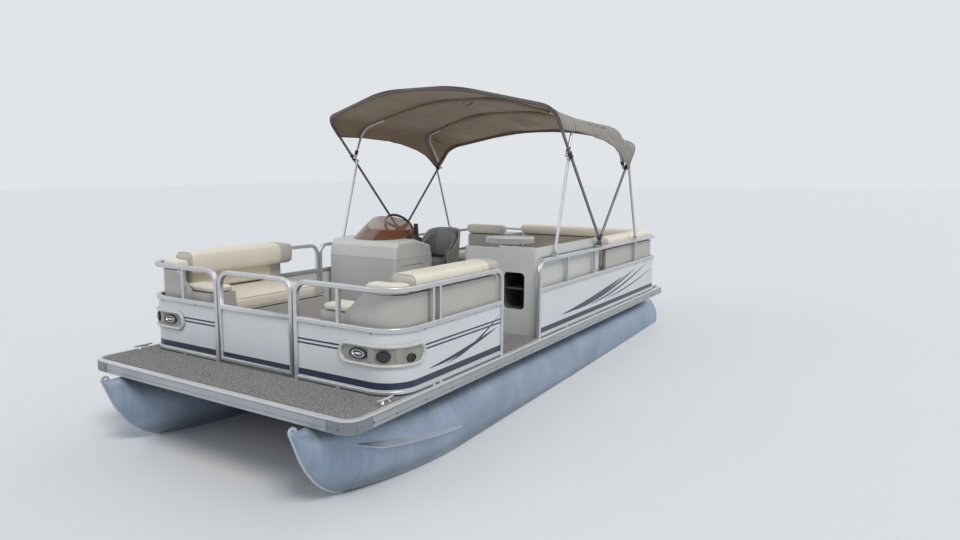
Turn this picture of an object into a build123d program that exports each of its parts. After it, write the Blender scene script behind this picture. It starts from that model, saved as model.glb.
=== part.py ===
from build123d import *
import os
from math import cos, hypot, radians, sin, sqrt

# Pontoon boat: two welded tubes under a flat deck, a fenced cockpit with seats and a helm,
# a four-bow folding sun canopy and an outboard that is stored tilted up.
# +X points to the bow, +Y to port, +Z up. The keel skids rest on z = 0. Millimetres.

os.makedirs("parts", exist_ok=True)

# Main sizes
bow_x = 3429.45  # the deck's bow edge, so that the middle of the whole length is the origin
deck_length = 5700.0
beam = 2440.0
deck_top = 690.0  # top of the carpet over the keel

# Tubes
tube_radius = 290.0
tube_y = 890.0
skid_drop = 10.0
skid_width = 34.0
nose_length = 1240.0  # from the cone's weld to the stem's tip
nose_reach = 100.0  # the stem's tip ahead of the deck edge
stem_top = 598.0
stem_foot_aft = 262.0
stem_foot_up = 122.0
stem_width = 34.0
riser_spread = 110.0
web = 8.0
tube_wall = 3.0
nose_wall = 8.0

# Deck structure
carpet_thick = 5.0
board_thick = 19.0
channel_high = 64.0
channel_flange = 38.0
channel_web = 5.0
channel_pitch = 508.0
edge_high = 83.0
edge_lip = 28.0
edge_web = 4.0
bow_corner = 110.0
edge_gap = 6.0

# Fence
rail = 32.0  # square tube
rail_round = 6.0
fence_front = 430.0  # tube axis aft of the deck's bow edge
fence_half = 1186.0
fence_stern = 5489.0
fence_corner = 200.0
stern_corner = 110.0
rail_top = 656.0  # over the deck
mid_top = 413.0
foot_high = 8.0
sill_high = 24.0
post_bend = 90.0
panel_thick = 5.0
gate_half = 360.0
gate_gap = 9.0
side_gate_front = 1676.0
side_gate_aft = 2312.0
helm_break = 2230.0
section_gap = 8.0

# Seats
seat_front = 480.0
seat_aft = 1640.0
seat_outer = 1160.0
seat_inner = 520.0
seat_height = 400.0
cushion = 110.0
shell_top = 640.0
shell_wall = 24.0
bolster_front = 640.0
bolster_aft = 1705.0

# Canopy frame
bow_tube = 25.4
pivot_aft = 3578.0
pivot_up = 690.0
hinge_gap = 4.6

# Outboard
transom_aft = 6130.0
transom_top = 548.0
tilt_rest = 62.0


def aft(distance):
    """X of a station measured aft from the deck's bow edge."""
    return bow_x - distance


def up(height):
    """Z of a height measured from the deck's top."""
    return deck_top + height


def keep(part, name):
    part.label = name
    export_step(part, f"parts/{name}.step")


tube_z = skid_drop + tube_radius
channel_top = deck_top - carpet_thick - board_thick
channel_bottom = channel_top - channel_high
tube_aft = deck_length - 10.0
nose_joint = nose_length - nose_reach

# Port tube, with its nose cone, skid, riser webs and spray fin
side_names = {1: "port", -1: "starboard"}


# Keel strip's outline as (aft, z), and the spray fin's as (aft, distance out from the tube's axis)
keel_strip = [(264, 114), (420, 52), (580, 20), (800, 4), (1160, 0), (1160, 14), (800, 24), (580, 44), (420, 84), (276, 134)]
spray_fin = [(30, 10), (90, 92), (160, 150), (330, 226), (620, 300), (900, 336), (1110, 306), (1110, 286), (600, 200),
             (300, 90), (120, 10)]


def nose_cone(y, wall, stem_setback):
    """The nose cone's loft, inset by a wall thickness."""
    stem_rise = stem_top - stem_foot_up
    stem_run = stem_foot_aft + nose_reach
    stem_length = hypot(stem_rise, stem_run) - 2 * stem_setback
    middle = (stem_foot_aft - nose_reach) / 2 + stem_setback
    wide = 2 * (tube_radius - wall)
    # Cone sections: station aft, width, height, centre height
    sections = [
        (nose_joint, wide, wide + 1, tube_z),
        (nose_joint - 560, 0.78 * wide, 0.965 * wide, tube_z + 9),
    ]
    with BuildPart() as cone:
        for station, across, high, centre in sections:
            with BuildSketch(Plane((aft(station), y, centre), x_dir=(0, 0, 1), z_dir=(1, 0, 0))):
                SlotOverall(high, across)
        stem_centre = (aft(middle), y, (stem_top + stem_foot_up) / 2)
        with BuildSketch(Plane(stem_centre, x_dir=(stem_run, 0, stem_rise), z_dir=(stem_rise, 0, -stem_run))):
            SlotOverall(stem_length, stem_width - 2 * wall)
        loft()
    return cone.part


def pontoon(side):
    y = side * tube_y
    web_low = tube_z + sqrt((tube_radius - tube_wall) ** 2 - riser_spread**2)
    with BuildPart() as tube:
        add(nose_cone(y, 0.0, 0.0))
        extrude(tube.faces().sort_by(Axis.X)[0], amount=tube_aft - nose_joint)
        add(nose_cone(y, nose_wall, 34.0), mode=Mode.SUBTRACT)
        with BuildSketch(Plane((aft(nose_joint), y, tube_z), x_dir=(0, 0, 1), z_dir=(-1, 0, 0))):
            Circle(tube_radius - tube_wall)
        extrude(amount=tube_aft - nose_joint - tube_wall, mode=Mode.SUBTRACT)
        # Keel skid
        with BuildSketch(Plane((aft((nose_joint - 120 + tube_aft - 60) / 2), y, 0))):
            Rectangle(tube_aft - nose_joint + 60, skid_width)
        extrude(amount=skid_drop + 1)
        # Keel strip under the nose cone
        with BuildSketch(Plane((0, y + 5, 0), x_dir=(1, 0, 0), z_dir=(0, -1, 0))):
            with BuildLine():
                Polyline(*[(aft(a), z) for a, z in keel_strip], close=True)
            make_face()
        extrude(amount=10)
        # Spray fin on the outer side of the nose
        with BuildSketch(Plane((aft(0), y, 425), x_dir=(-1, 0, -0.085), z_dir=(-0.085, 0, 1))):
            with BuildLine():
                Polyline(*[(run, -side * out) for run, out in spray_fin], close=True)
            make_face()
        extrude(amount=5)
        # Riser webs that carry the cross channels
        with BuildSketch(Plane((aft((nose_joint + tube_aft) / 2), y, web_low))):
            with Locations((0, riser_spread), (0, -riser_spread)):
                Rectangle(tube_aft - nose_joint - 40, web)
        extrude(amount=channel_bottom - web_low)
        # Forward riser over the nose cone
        with BuildSketch(Plane((aft((nose_joint + 120) / 2), y, tube_z + tube_radius - 12))):
            Rectangle(nose_joint - 160, web)
        extrude(amount=channel_bottom - tube_z - tube_radius + 12)
    return tube.part


for side, word in side_names.items():
    keep(pontoon(side), f"pontoon_{word}")

# Cross channels, open aft
channel_length = beam - 2 * edge_lip
channel_count = int((deck_length - 300) // channel_pitch) + 1
first_channel = (deck_length - (channel_count - 1) * channel_pitch) / 2
with BuildPart() as crossmembers:
    for i in range(channel_count):
        station = aft(first_channel + i * channel_pitch)
        with BuildSketch(Plane((station, channel_length / 2, channel_bottom), x_dir=(1, 0, 0), z_dir=(0, -1, 0))):
            with BuildLine():
                Polyline(
                    (0, 0),
                    (channel_flange, 0),
                    (channel_flange, channel_web),
                    (channel_web, channel_web),
                    (channel_web, channel_high - channel_web),
                    (channel_flange, channel_high - channel_web),
                    (channel_flange, channel_high),
                    (0, channel_high),
                    close=True,
                )
            make_face()
        extrude(amount=channel_length)
keep(crossmembers.part, "crossmembers")


def deck_outline(inset, corner):
    """The deck's plan: square stern corners, round bow corners."""
    front = aft(inset)
    back = aft(deck_length - inset)
    half = beam / 2 - inset
    with BuildLine() as outline:
        Line((back, -half), (front - corner, -half))
        RadiusArc((front - corner, -half), (front, -half + corner), -corner)
        Line((front, -half + corner), (front, half - corner))
        RadiusArc((front, half - corner), (front - corner, half), -corner)
        Line((front - corner, half), (back, half))
        Line((back, half), (back, -half))
    return outline.line


# Plywood deck
with BuildPart() as deck_board:
    with BuildSketch(Plane.XY.offset(channel_top)):
        with BuildLine():
            add(deck_outline(edge_web + 1, bow_corner - edge_web))
        make_face()
    extrude(amount=board_thick)
keep(deck_board.part, "deck_board")

# Carpet, inside the edge rail's lip
with BuildPart() as carpet:
    with BuildSketch(Plane.XY.offset(channel_top + board_thick)):
        with BuildLine():
            add(deck_outline(edge_lip + 1, bow_corner - edge_lip))
        make_face()
    extrude(amount=carpet_thick)
keep(carpet.part, "carpet")

# Tread strips along the bow edge: middle, width
tread_strips = [(0.0, 700.0), (680.0, 500.0), (-680.0, 500.0)]
tread_front = 32.0
tread_aft = 117.0
with BuildPart() as bow_treads:
    with BuildSketch(Plane.XY.offset(up(0.3))):
        for middle, across in tread_strips:
            with Locations((aft((tread_front + tread_aft) / 2), middle)):
                RectangleRounded(tread_aft - tread_front, across, 22)
    extrude(amount=3)
keep(bow_treads.part, "bow_treads")

# Edge rail: web, top lip over the board's edge, bottom lip
edge_bottom = deck_top - edge_high
with BuildPart() as edge_rail:
    with BuildSketch(Plane.XY.offset(edge_bottom)):
        with BuildLine():
            add(deck_outline(0, bow_corner))
        make_face()
        with BuildLine():
            add(deck_outline(edge_web, bow_corner - edge_web))
        make_face(mode=Mode.SUBTRACT)
    extrude(amount=edge_high)
    for level, lip, thick in ((edge_bottom, 20.0, 3.0), (channel_top + board_thick, edge_lip, carpet_thick)):
        with BuildSketch(Plane.XY.offset(level)):
            with BuildLine():
                add(deck_outline(edge_web / 2, bow_corner - edge_web / 2))
            make_face()
            with BuildLine():
                add(deck_outline(lip, bow_corner - lip))
            make_face(mode=Mode.SUBTRACT)
        extrude(amount=thick)
keep(edge_rail.part, "edge_rail")

# Bow corner caps
cap_thick = 4.0
cap_run = 70.0
with BuildPart() as corner_caps:
    for side in (-1, 1):
        turn = (aft(bow_corner), side * (beam / 2 - bow_corner))
        with BuildSketch(Plane.XY.offset(edge_bottom + 4)):
            with BuildLine():
                far = (aft(bow_corner + cap_run), side * beam / 2)
                near = (aft(0), side * (beam / 2 - bow_corner - cap_run))
                cap_path = FilletPolyline(far, (aft(0), side * beam / 2), near, radius=bow_corner)
            trace(line_width=2 * cap_thick)
            with BuildLine():
                add(deck_outline(-0.3, bow_corner + 0.3))
            make_face(mode=Mode.SUBTRACT)
        extrude(amount=edge_high - 16)
keep(corner_caps.part, "corner_caps")

# Motor pod under the deck's stern, with a thick transom plate
pod_half = 270.0
pod_front = 4900.0
pod_bottom = 214.0
pod_wall = 6.0
transom_thick = 46.0
with BuildPart() as motor_pod:
    with BuildSketch(Plane((0, pod_half, 0), x_dir=(1, 0, 0), z_dir=(0, -1, 0))):
        with BuildLine():
            Polyline(
                (aft(pod_front), channel_bottom),
                (aft(pod_front + 420), channel_bottom - 300),
                (aft(transom_aft - 60), pod_bottom),
                (aft(transom_aft), pod_bottom + 40),
                (aft(transom_aft), transom_top),
                (aft(transom_aft - transom_thick), transom_top),
                (aft(transom_aft - transom_thick), transom_top - 90),
                (aft(deck_length + 90), transom_top - 90),
                (aft(deck_length + 10), channel_bottom),
                close=True,
            )
        pod_side = make_face()
    extrude(amount=2 * pod_half)
    with BuildSketch(Plane((0, pod_half - pod_wall, 0), x_dir=(1, 0, 0), z_dir=(0, -1, 0))):
        add(pod_side)
        offset(amount=-pod_wall)
    extrude(amount=2 * (pod_half - pod_wall), mode=Mode.SUBTRACT)
keep(motor_pod.part, "motor_pod")

rail_z = up(rail_top - rail / 2)
mid_z = up(mid_top - rail / 2)
sill_z = up(foot_high)


def tube_run(points, radius=0.0, wide=rail, high=rail, corner=rail_round):
    """Square tube along a level route; returns the solid."""
    with BuildPart() as tube:
        with BuildLine() as route:
            if len(points) > 2:
                FilletPolyline(*points, radius=radius)
            else:
                Line(*points)
        heading = route.line % 0
        with BuildSketch(Plane(route.line @ 0, x_dir=Vector(0, 0, 1).cross(heading), z_dir=heading)):
            RectangleRounded(wide, high, corner)
        sweep(path=route.line)
    return tube.part


def end_post(corner, inward, top, foot):
    """The rail's end: it bends down from the top rail and runs to the deck."""
    x, y = corner
    lead = post_bend + 0.5
    with BuildPart() as post:
        with BuildLine() as route:
            inner = (x + inward[0] * lead, y + inward[1] * lead, top)
            FilletPolyline(inner, (x, y, top), (x, y, foot), radius=post_bend)
        across = Vector(-inward[1], inward[0], 0)
        with BuildSketch(Plane(route.line @ 0, x_dir=across, z_dir=route.line % 0)):
            RectangleRounded(rail, rail, rail_round)
        sweep(path=route.line)
    return post.part


# Fence sections: name, route of (aft, y) with its corner radius, uprights as (aft, y), foot pitch
front_end = gate_half + gate_gap + rail / 2
fence_sections = [
    ("bow_port", [(fence_front, front_end), (fence_front, fence_half), (side_gate_front, fence_half)],
     fence_corner, [(fence_front, 745.0), (800.0, fence_half), (875.0, fence_half)]),
    ("bow_starboard", [(fence_front, -front_end), (fence_front, -fence_half), (helm_break - rail / 2, -fence_half)],
     fence_corner, [(fence_front, -745.0), (800.0, -fence_half), (1500.0, -fence_half)]),
    ("aft_port", [(side_gate_aft, fence_half), (fence_stern, fence_half), (fence_stern, section_gap / 2 + rail / 2)],
     stern_corner, [(2860.0, fence_half), (3500.0, fence_half), (4700.0, fence_half), (fence_stern, 600.0)]),
    ("aft_starboard", [(helm_break + rail / 2 + section_gap, -fence_half), (fence_stern, -fence_half),
                       (fence_stern, -section_gap / 2 - rail / 2)],
     stern_corner, [(2860.0, -fence_half), (3500.0, -fence_half), (4700.0, -fence_half), (fence_stern, -600.0)]),
]


def towards(a, b):
    length = hypot(b[0] - a[0], b[1] - a[1])
    return ((b[0] - a[0]) / length, (b[1] - a[1]) / length)


def shifted(point, direction, amount):
    return (point[0] + direction[0] * amount, point[1] + direction[1] * amount)


def fence_frame(route, corner, uprights):
    """One section's tubes: top rail, mid rail, sill, end posts, uprights and feet."""
    plan = [(aft(a), y) for a, y in route]
    first = towards(plan[0], plan[1])
    last = towards(plan[-1], plan[-2])
    top = [shifted(plan[0], first, post_bend), *plan[1:-1], shifted(plan[-1], last, post_bend)]
    with BuildPart() as frame:
        add(tube_run([(x, y, rail_z) for x, y in top], corner))
        add(tube_run([(x, y, mid_z) for x, y in plan], corner))
        add(tube_run([(x, y, sill_z + sill_high / 2) for x, y in plan], corner, high=sill_high))
        add(end_post(plan[0], first, rail_z, up(0)))
        add(end_post(plan[-1], last, rail_z, up(0)))
        for a, y in uprights:
            with BuildSketch(Plane((aft(a), y, mid_z))):
                Rectangle(rail - 8, rail - 8)
            extrude(amount=rail_z - mid_z)
            with BuildSketch(Plane((aft(a), y, up(0)))):
                Rectangle(rail, rail)
            extrude(amount=foot_high + 2)
    return frame.part


def fence_panel(route, corner):
    """The sheet between a section's sill and mid rail."""
    plan = [(aft(a), y) for a, y in route]
    first = towards(plan[0], plan[1])
    last = towards(plan[-1], plan[-2])
    run = [shifted(plan[0], first, rail / 2), *plan[1:-1], shifted(plan[-1], last, rail / 2)]
    with BuildPart() as panel:
        with BuildSketch(Plane.XY.offset(sill_z + sill_high)):
            with BuildLine():
                if len(run) > 2:
                    FilletPolyline(*run, radius=corner)
                else:
                    Line(*run)
            trace(line_width=panel_thick)
        extrude(amount=mid_z - rail / 2 - sill_z - sill_high)
    return panel.part


for name, route, corner, uprights in fence_sections:
    keep(fence_frame(route, corner, uprights), f"fence_{name}")
    keep(fence_panel(route, corner), f"panel_{name}")

# Front gate: the same tube, hinged at its starboard post
gate_lift = 14.0
hinge_y = -gate_half - gate_gap / 2
hinge_levels = (130.0, 340.0)
hinge_pin = 3.0
hinge_knuckle = 6.0
pin_fit = 0.06
gate_sill = sill_z + gate_lift
gate_ends = [(aft(fence_front), s * (gate_half - rail / 2)) for s in (-1, 1)]
gate_bends = [(aft(fence_front), s * (gate_half - rail / 2 - post_bend)) for s in (-1, 1)]
with BuildPart() as gate_frame:
    add(tube_run([(*end, rail_z) for end in gate_bends]))
    add(tube_run([(*end, mid_z) for end in gate_ends]))
    add(tube_run([(*end, gate_sill + sill_high / 2) for end in gate_ends], high=sill_high))
    add(end_post(gate_ends[0], (0, 1), rail_z, gate_sill))
    add(end_post(gate_ends[1], (0, -1), rail_z, gate_sill))
    for y in (-120.0, 120.0):
        with BuildSketch(Plane((aft(fence_front), y, mid_z))):
            Rectangle(rail - 8, rail - 8)
        extrude(amount=rail_z - mid_z)
    # Hinge eyes that turn on the fence post's pins
    for level in hinge_levels:
        with BuildSketch(Plane((aft(fence_front + rail / 2 + 1), hinge_y + 22, up(level + 20.4)))):
            Rectangle(5, 36)
        extrude(amount=29.2)
        with BuildSketch(Plane((aft(fence_front + rail / 2 + 8), hinge_y, up(level + 20.4)))):
            Circle(hinge_knuckle)
        extrude(amount=29.2)
        with BuildSketch(Plane((aft(fence_front + rail / 2 + 5), hinge_y + 4, up(level + 20.4)))):
            Rectangle(9, 5)
        extrude(amount=29.2)
        with BuildSketch(Plane((aft(fence_front + rail / 2 + 8), hinge_y, up(level)))):
            Circle(hinge_pin + pin_fit)
        extrude(amount=70, mode=Mode.SUBTRACT)
keep(gate_frame.part, "front_gate_frame")

with BuildPart() as gate_panel:
    with BuildSketch(Plane.XY.offset(gate_sill + sill_high)):
        with Locations((aft(fence_front), 0)):
            Rectangle(panel_thick, 2 * gate_half - 2 * rail)
    extrude(amount=mid_z - rail / 2 - gate_sill - sill_high)
keep(gate_panel.part, "front_gate_panel")

# Gate hinges on the fence's post
hinge_x = aft(fence_front + rail / 2 + 8)
with BuildPart() as gate_hinges:
    for level in hinge_levels:
        with BuildSketch(Plane((hinge_x, hinge_y, up(level)))):
            Circle(hinge_pin)
        extrude(amount=70)
        for low in (0, 50):
            with BuildSketch(Plane((hinge_x, hinge_y, up(level + low)))):
                Circle(hinge_knuckle)
            extrude(amount=20)
        with BuildSketch(Plane((hinge_x + 6.2, hinge_y - 19.5, up(level)))):
            Rectangle(3, 30)
        extrude(amount=70)
        with BuildSketch(Plane((hinge_x + 3, hinge_y - 4.4, up(level)))):
            Rectangle(6, 4)
        extrude(amount=20)
        with BuildSketch(Plane((hinge_x + 3, hinge_y - 4.4, up(level + 50)))):
            Rectangle(6, 4)
        extrude(amount=20)
keep(gate_hinges.part, "front_gate_hinges")

# Docking-light bezels wrapped round the bow corners
bezel_low = 140.0
bezel_high = 320.0
bezel_reach = 26.0
bezel_border = 32.0
lamp_radius = 38.0


for side, word in side_names.items():
    with BuildPart() as bezel:
        with BuildSketch(Plane.XY.offset(up(bezel_low))):
            with BuildLine():
                FilletPolyline(
                    (aft(fence_front) + (panel_thick / 2 + bezel_reach) / 2, side * 720.0),
                    (aft(fence_front) + (panel_thick / 2 + bezel_reach) / 2, side * (fence_half + 14)),
                    (aft(fence_front + 320.0), side * (fence_half + 14)),
                    radius=fence_corner + 14,
                )
            trace(line_width=bezel_reach - panel_thick / 2 - 0.6)
        extrude(amount=bezel_high - bezel_low)
        with BuildSketch(Plane.XY.offset(up(bezel_low + bezel_border))):
            with BuildLine():
                FilletPolyline(
                    (aft(fence_front) + 28, side * 752.0),
                    (aft(fence_front) + 28, side * (fence_half + 28)),
                    (aft(fence_front + 288.0), side * (fence_half + 28)),
                    radius=fence_corner + 28,
                )
            trace(line_width=34)
        extrude(amount=bezel_high - bezel_low - 2 * bezel_border, mode=Mode.SUBTRACT)
    keep(bezel.part, f"light_bezel_{word}")

with BuildPart() as lamps:
    for side in (-1, 1):
        turn = (aft(fence_front + fence_corner), side * (fence_half - fence_corner))
        seat = fence_corner + 11.2
        for y_or_angle, radius in ((8.0, 40.0), (42.0, 34.0), (74.0, 20.0)):
            a = radians(y_or_angle)
            out = (cos(a), side * sin(a), 0)
            spot = (turn[0] + seat * out[0], turn[1] + seat * out[1], up((bezel_low + bezel_high) / 2))
            with BuildSketch(Plane(spot, z_dir=out)):
                Circle(radius)
            extrude(amount=10)
keep(lamps.part, "docking_lamps")

seat_top = up(seat_height)
pad_low = up(seat_height - cushion)
arm_long = 220.0
arm_top = 455.0
shell_corner = 160.0
side_shell_top = 600.0
bolster_high = 115.0
soft_gap = 0.3
mould = 9.0  # wall of the moulded seat bases


def soft_box(front, back, y_low, y_high, low, high, rounding):
    """A closed pad with rounded edges, between stations aft and heights over the deck."""
    with BuildPart() as pad:
        with BuildSketch(Plane.XY.offset(up(low))):
            with Locations((aft((front + back) / 2), (y_low + y_high) / 2)):
                Rectangle(back - front, y_high - y_low)
        extrude(amount=high - low)
        fillet(pad.edges(), rounding)
    return pad.part


def lounge_base(side):
    """One bow seat's moulded base: box, arm block and a shell round the outer corner."""
    with BuildPart() as base:
        with BuildSketch(Plane.XY.offset(up(0))):
            with BuildLine():
                FilletPolyline(
                    (aft(seat_aft), side * seat_inner),
                    (aft(seat_aft), side * seat_outer),
                    (aft(seat_front), side * seat_outer),
                    (aft(seat_front), side * seat_inner),
                    radius=[40, shell_corner],
                    close=False,
                )
                Line((aft(seat_front), side * seat_inner), (aft(seat_aft), side * seat_inner))
            make_face()
        extrude(amount=seat_height - cushion)
        ys = (side * (seat_inner + mould), side * (seat_outer - mould))
        with BuildSketch(Plane.XY.offset(up(0))):
            with BuildLine():
                FilletPolyline(
                    (aft(seat_aft - mould), ys[0]),
                    (aft(seat_aft - mould), ys[1]),
                    (aft(seat_front + mould), ys[1]),
                    (aft(seat_front + mould), ys[0]),
                    radius=[30, shell_corner - mould],
                )
                Line((aft(seat_front + mould), ys[0]), (aft(seat_aft - mould), ys[0]))
            make_face()
        extrude(amount=seat_height - cushion - mould, mode=Mode.SUBTRACT)
        with BuildSketch(Plane.XY.offset(pad_low)):
            with BuildLine():
                FilletPolyline(
                    (aft(seat_front + arm_long), side * seat_outer),
                    (aft(seat_front), side * seat_outer),
                    (aft(seat_front), side * seat_inner),
                    (aft(seat_front + arm_long), side * seat_inner),
                    radius=[shell_corner, 40],
                    close=False,
                )
                Line((aft(seat_front + arm_long), side * seat_inner), (aft(seat_front + arm_long), side * seat_outer))
            make_face()
        extrude(amount=up(arm_top) - pad_low)
        with BuildSketch(Plane.XY.offset(pad_low)):
            with BuildLine():
                FilletPolyline(
                    (aft(seat_aft), side * (seat_outer - shell_wall / 2)),
                    (aft(seat_front + shell_wall / 2), side * (seat_outer - shell_wall / 2)),
                    (aft(seat_front + shell_wall / 2), side * shell_inner),
                    radius=shell_corner - shell_wall / 2,
                )
            trace(line_width=shell_wall)
        extrude(amount=up(side_shell_top) - pad_low)
        # The shell's front end falls away towards the gate
        with BuildSketch(Plane((aft(seat_front) + 5, 0, 0), x_dir=(0, 1, 0), z_dir=(1, 0, 0))):
            with BuildLine():
                Polyline(
                    (side * (shell_inner - 1), up(arm_top + 2)),
                    (side * (shell_inner + 150), up(side_shell_top + 2)),
                    (side * (shell_inner - 1), up(side_shell_top + 2)),
                    close=True,
                )
            make_face()
        extrude(amount=-shell_wall - 60, mode=Mode.SUBTRACT)
    return base.part


shell_inner = 745.0
back_deep = 92.0
pad_front = seat_front + arm_long + 2
for side, word in side_names.items():
    ys = sorted((side * (seat_inner - 12), side * (seat_outer - shell_wall - soft_gap)))
    keep(lounge_base(side).solids().sort_by(SortBy.VOLUME)[-1], f"bow_seat_base_{word}")
    keep(soft_box(pad_front, seat_aft, *ys, seat_height - cushion + soft_gap, seat_height, 22), f"bow_seat_pad_{word}")
    ys = sorted((side * (seat_outer - shell_wall - back_deep), side * (seat_outer - shell_wall - soft_gap)))
    keep(soft_box(pad_front, seat_aft, *ys, seat_height + soft_gap, side_shell_top, 20), f"bow_back_pad_{word}")
    ys = sorted((side * (seat_outer - 200), side * seat_outer))
    keep(
        soft_box(bolster_front, bolster_aft, *ys, side_shell_top + soft_gap, side_shell_top + bolster_high, 40),
        f"bow_bolster_{word}",
    )
    with BuildPart() as caps:
        ys = sorted((side * (seat_inner + 4), side * (shell_inner + 120)))
        add(soft_box(seat_front + 30, seat_front + arm_long - 4, *ys, arm_top + soft_gap, arm_top + 55, 18))
        with BuildSketch(Plane.XY.offset(up(side_shell_top + soft_gap))):
            with BuildLine():
                FilletPolyline(
                    (aft(bolster_front - 6), side * (seat_outer - 62)),
                    (aft(seat_front + 62), side * (seat_outer - 62)),
                    (aft(seat_front + 62), side * (shell_inner + 160)),
                    radius=85,
                )
            trace(line_width=120)
        extrude(amount=76)
        fillet(caps.faces().sort_by(Axis.Z)[-1].edges(), 22)
    keep(caps.part, f"bow_corner_pads_{word}")

# Stern lounge: a bench across the stern with a return to port, and a single seat to starboard
# whose back is the front of a locker
stern_back = 5450.0
stern_front = 4780.0
return_front = 3880.0
return_inner = 560.0
stern_end = -560.0
single_front = 4380.0
single_back = 5030.0
single_inner = -604.0
single_outer = -1160.0
stern_round = 96.0
stern_pad_deep = 86.0
bolster_top = 722.0


def stern_plan(front, return_from, back, outer, inner, end):
    """L-shaped outline between stations aft and half widths."""
    with BuildLine() as outline:
        Polyline(
            (aft(front), end),
            (aft(back), end),
            (aft(back), outer),
            (aft(return_from), outer),
            (aft(return_from), inner),
            (aft(front), inner),
            close=True,
        )
    return outline.line


def stern_pad(front, return_from, back, outer, inner, low, high, rounding):
    """An L-shaped pad with its port aft corner round."""
    with BuildPart() as pad:
        with BuildSketch(Plane.XY.offset(up(low))):
            with BuildLine():
                add(stern_plan(front, return_from, back, outer, inner, stern_end))
            make_face()
        extrude(amount=high - low)
        corner = pad.edges().filter_by(Axis.Z).sort_by(Axis.X)[:2].sort_by(Axis.Y)[-1]
        fillet(corner, stern_round - (stern_back - back))
        fillet(pad.faces().filter_by(Axis.Z).edges(), rounding)
    return pad.part


def seat_and_locker(inset):
    """The single seat's base and the locker behind it, as one block with a round outer corner."""
    with BuildPart() as block:
        with BuildSketch(Plane((0, single_inner - inset, 0), x_dir=(1, 0, 0), z_dir=(0, -1, 0))):
            with BuildLine():
                Polyline(
                    (aft(single_front + inset), up(inset)),
                    (aft(single_front + inset), pad_low - inset),
                    (aft(single_back - shell_wall + inset), pad_low - inset),
                    (aft(single_back - shell_wall + inset), up(side_shell_top) - inset),
                    (aft(stern_back - inset), up(side_shell_top) - inset),
                    (aft(stern_back - inset), up(inset)),
                    close=True,
                )
            make_face()
        extrude(amount=single_inner - single_outer - 2 * inset)
        corner = block.edges().filter_by(Axis.Z).sort_by(Axis.X)[:2].sort_by(Axis.Y)[0]
        fillet(corner, stern_round - inset)
    return block.part


with BuildPart() as stern_base:
    # The moulded base is a shell, open below
    for inset, top, mode in ((0.0, seat_height - cushion, Mode.ADD), (mould, seat_height - cushion - mould, Mode.SUBTRACT)):
        with BuildSketch(Plane.XY.offset(up(0))):
            with BuildLine():
                add(stern_plan(stern_front + inset, return_front + inset, stern_back - inset, seat_outer - inset,
                               return_inner + inset, stern_end + inset))
            plan = make_face()
            fillet(plan.vertices().sort_by(Axis.X)[:2].sort_by(Axis.Y)[-1], stern_round - inset)
        extrude(amount=top, mode=mode)
    with BuildSketch(Plane.XY.offset(pad_low)):
        with BuildLine():
            FilletPolyline(
                (aft(return_front), seat_outer - shell_wall / 2),
                (aft(stern_back - shell_wall / 2), seat_outer - shell_wall / 2),
                (aft(stern_back - shell_wall / 2), stern_end),
                radius=stern_round - shell_wall / 2,
            )
        trace(line_width=shell_wall)
    extrude(amount=up(side_shell_top) - pad_low)
    add(seat_and_locker(0.0))
    add(seat_and_locker(mould), mode=Mode.SUBTRACT)
keep(stern_base.part, "stern_seat_base")

inner_face = shell_wall + soft_gap
stern_pads = [
    # name, front of bench, front of return, back, outer, return's inner side, front of single, back of single,
    # low, high, rounding
    ("stern_seat_pad", stern_front - 14, return_front, stern_back - inner_face, seat_outer - inner_face,
     return_inner - 12, single_front - 14, single_back - inner_face, seat_height - cushion + soft_gap, seat_height, 22.0),
    ("stern_back_pad", stern_back - inner_face - stern_pad_deep, return_front, stern_back - inner_face,
     seat_outer - inner_face, seat_outer - inner_face - stern_pad_deep, single_back - inner_face - stern_pad_deep,
     single_back - inner_face, seat_height + soft_gap, side_shell_top, 20.0),
    ("stern_bolster", stern_back - 180, return_front - 10, stern_back + 8, seat_outer + 6, seat_outer - 180,
     single_back - 150, single_back + 8, side_shell_top + soft_gap, bolster_top, 40.0),
]
for name, front, return_from, back, outer, inner, one_front, one_back, low, high, rounding in stern_pads:
    with BuildPart() as pads:
        add(stern_pad(front, return_from, back, outer, inner, low, high, rounding))
        add(soft_box(one_front, one_back, single_outer, single_inner, low, high, rounding))
    keep(pads.part, name)

# Helm console: a hollow moulded box with a sloping dash and a door in its port side
console_front = 2345.0
console_outer = -1140.0
console_inner = -330.0
console_wall = 14.0
door_front = 2430.0
door_aft = 2790.0
door_low = 90.0
door_high = 470.0
door_gap = 5.0
door_pin = 2.0
door_knuckle = 5.0
door_axis_x = aft(door_front + door_gap / 2)
door_axis_y = console_inner + 5.5
door_knuckles = [(110.0, 130.0), (430.0, 450.0)]
wheel_y = -700.0
wheel_radius = 172.0
wheel_lean = 32.0
wheel_axis = Vector(-cos(radians(wheel_lean)), 0, sin(radians(wheel_lean)))
wheel_centre = Vector(aft(console_front + 555), wheel_y, up(784))
wheel_plane = Plane(wheel_centre, x_dir=(0, 1, 0), z_dir=wheel_axis)
wheel_shaft = 11.0


console_brow = 698.0
dash_top = (330.0, 712.0)  # the dash's upper and lower edges, aft of the console's front and up
dash_foot = (580.0, 640.0)


def console_profile(inset):
    """Side view of the console, as (aft, height over the deck)."""
    points = [
        (inset, inset),
        (10 + inset, 545.0),
        (27 + inset, 650.0 - inset / 2),
        (60 + inset / 2, console_brow - inset),
        (dash_top[0], dash_top[1] - inset),
        (dash_foot[0] - inset, dash_foot[1] - inset),
        (620 - inset, 500.0),
        (545 - inset, inset),
    ]
    with BuildLine() as outline:
        Polyline(*[(aft(console_front + a), up(h)) for a, h in points], close=True)
    return outline.line


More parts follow.
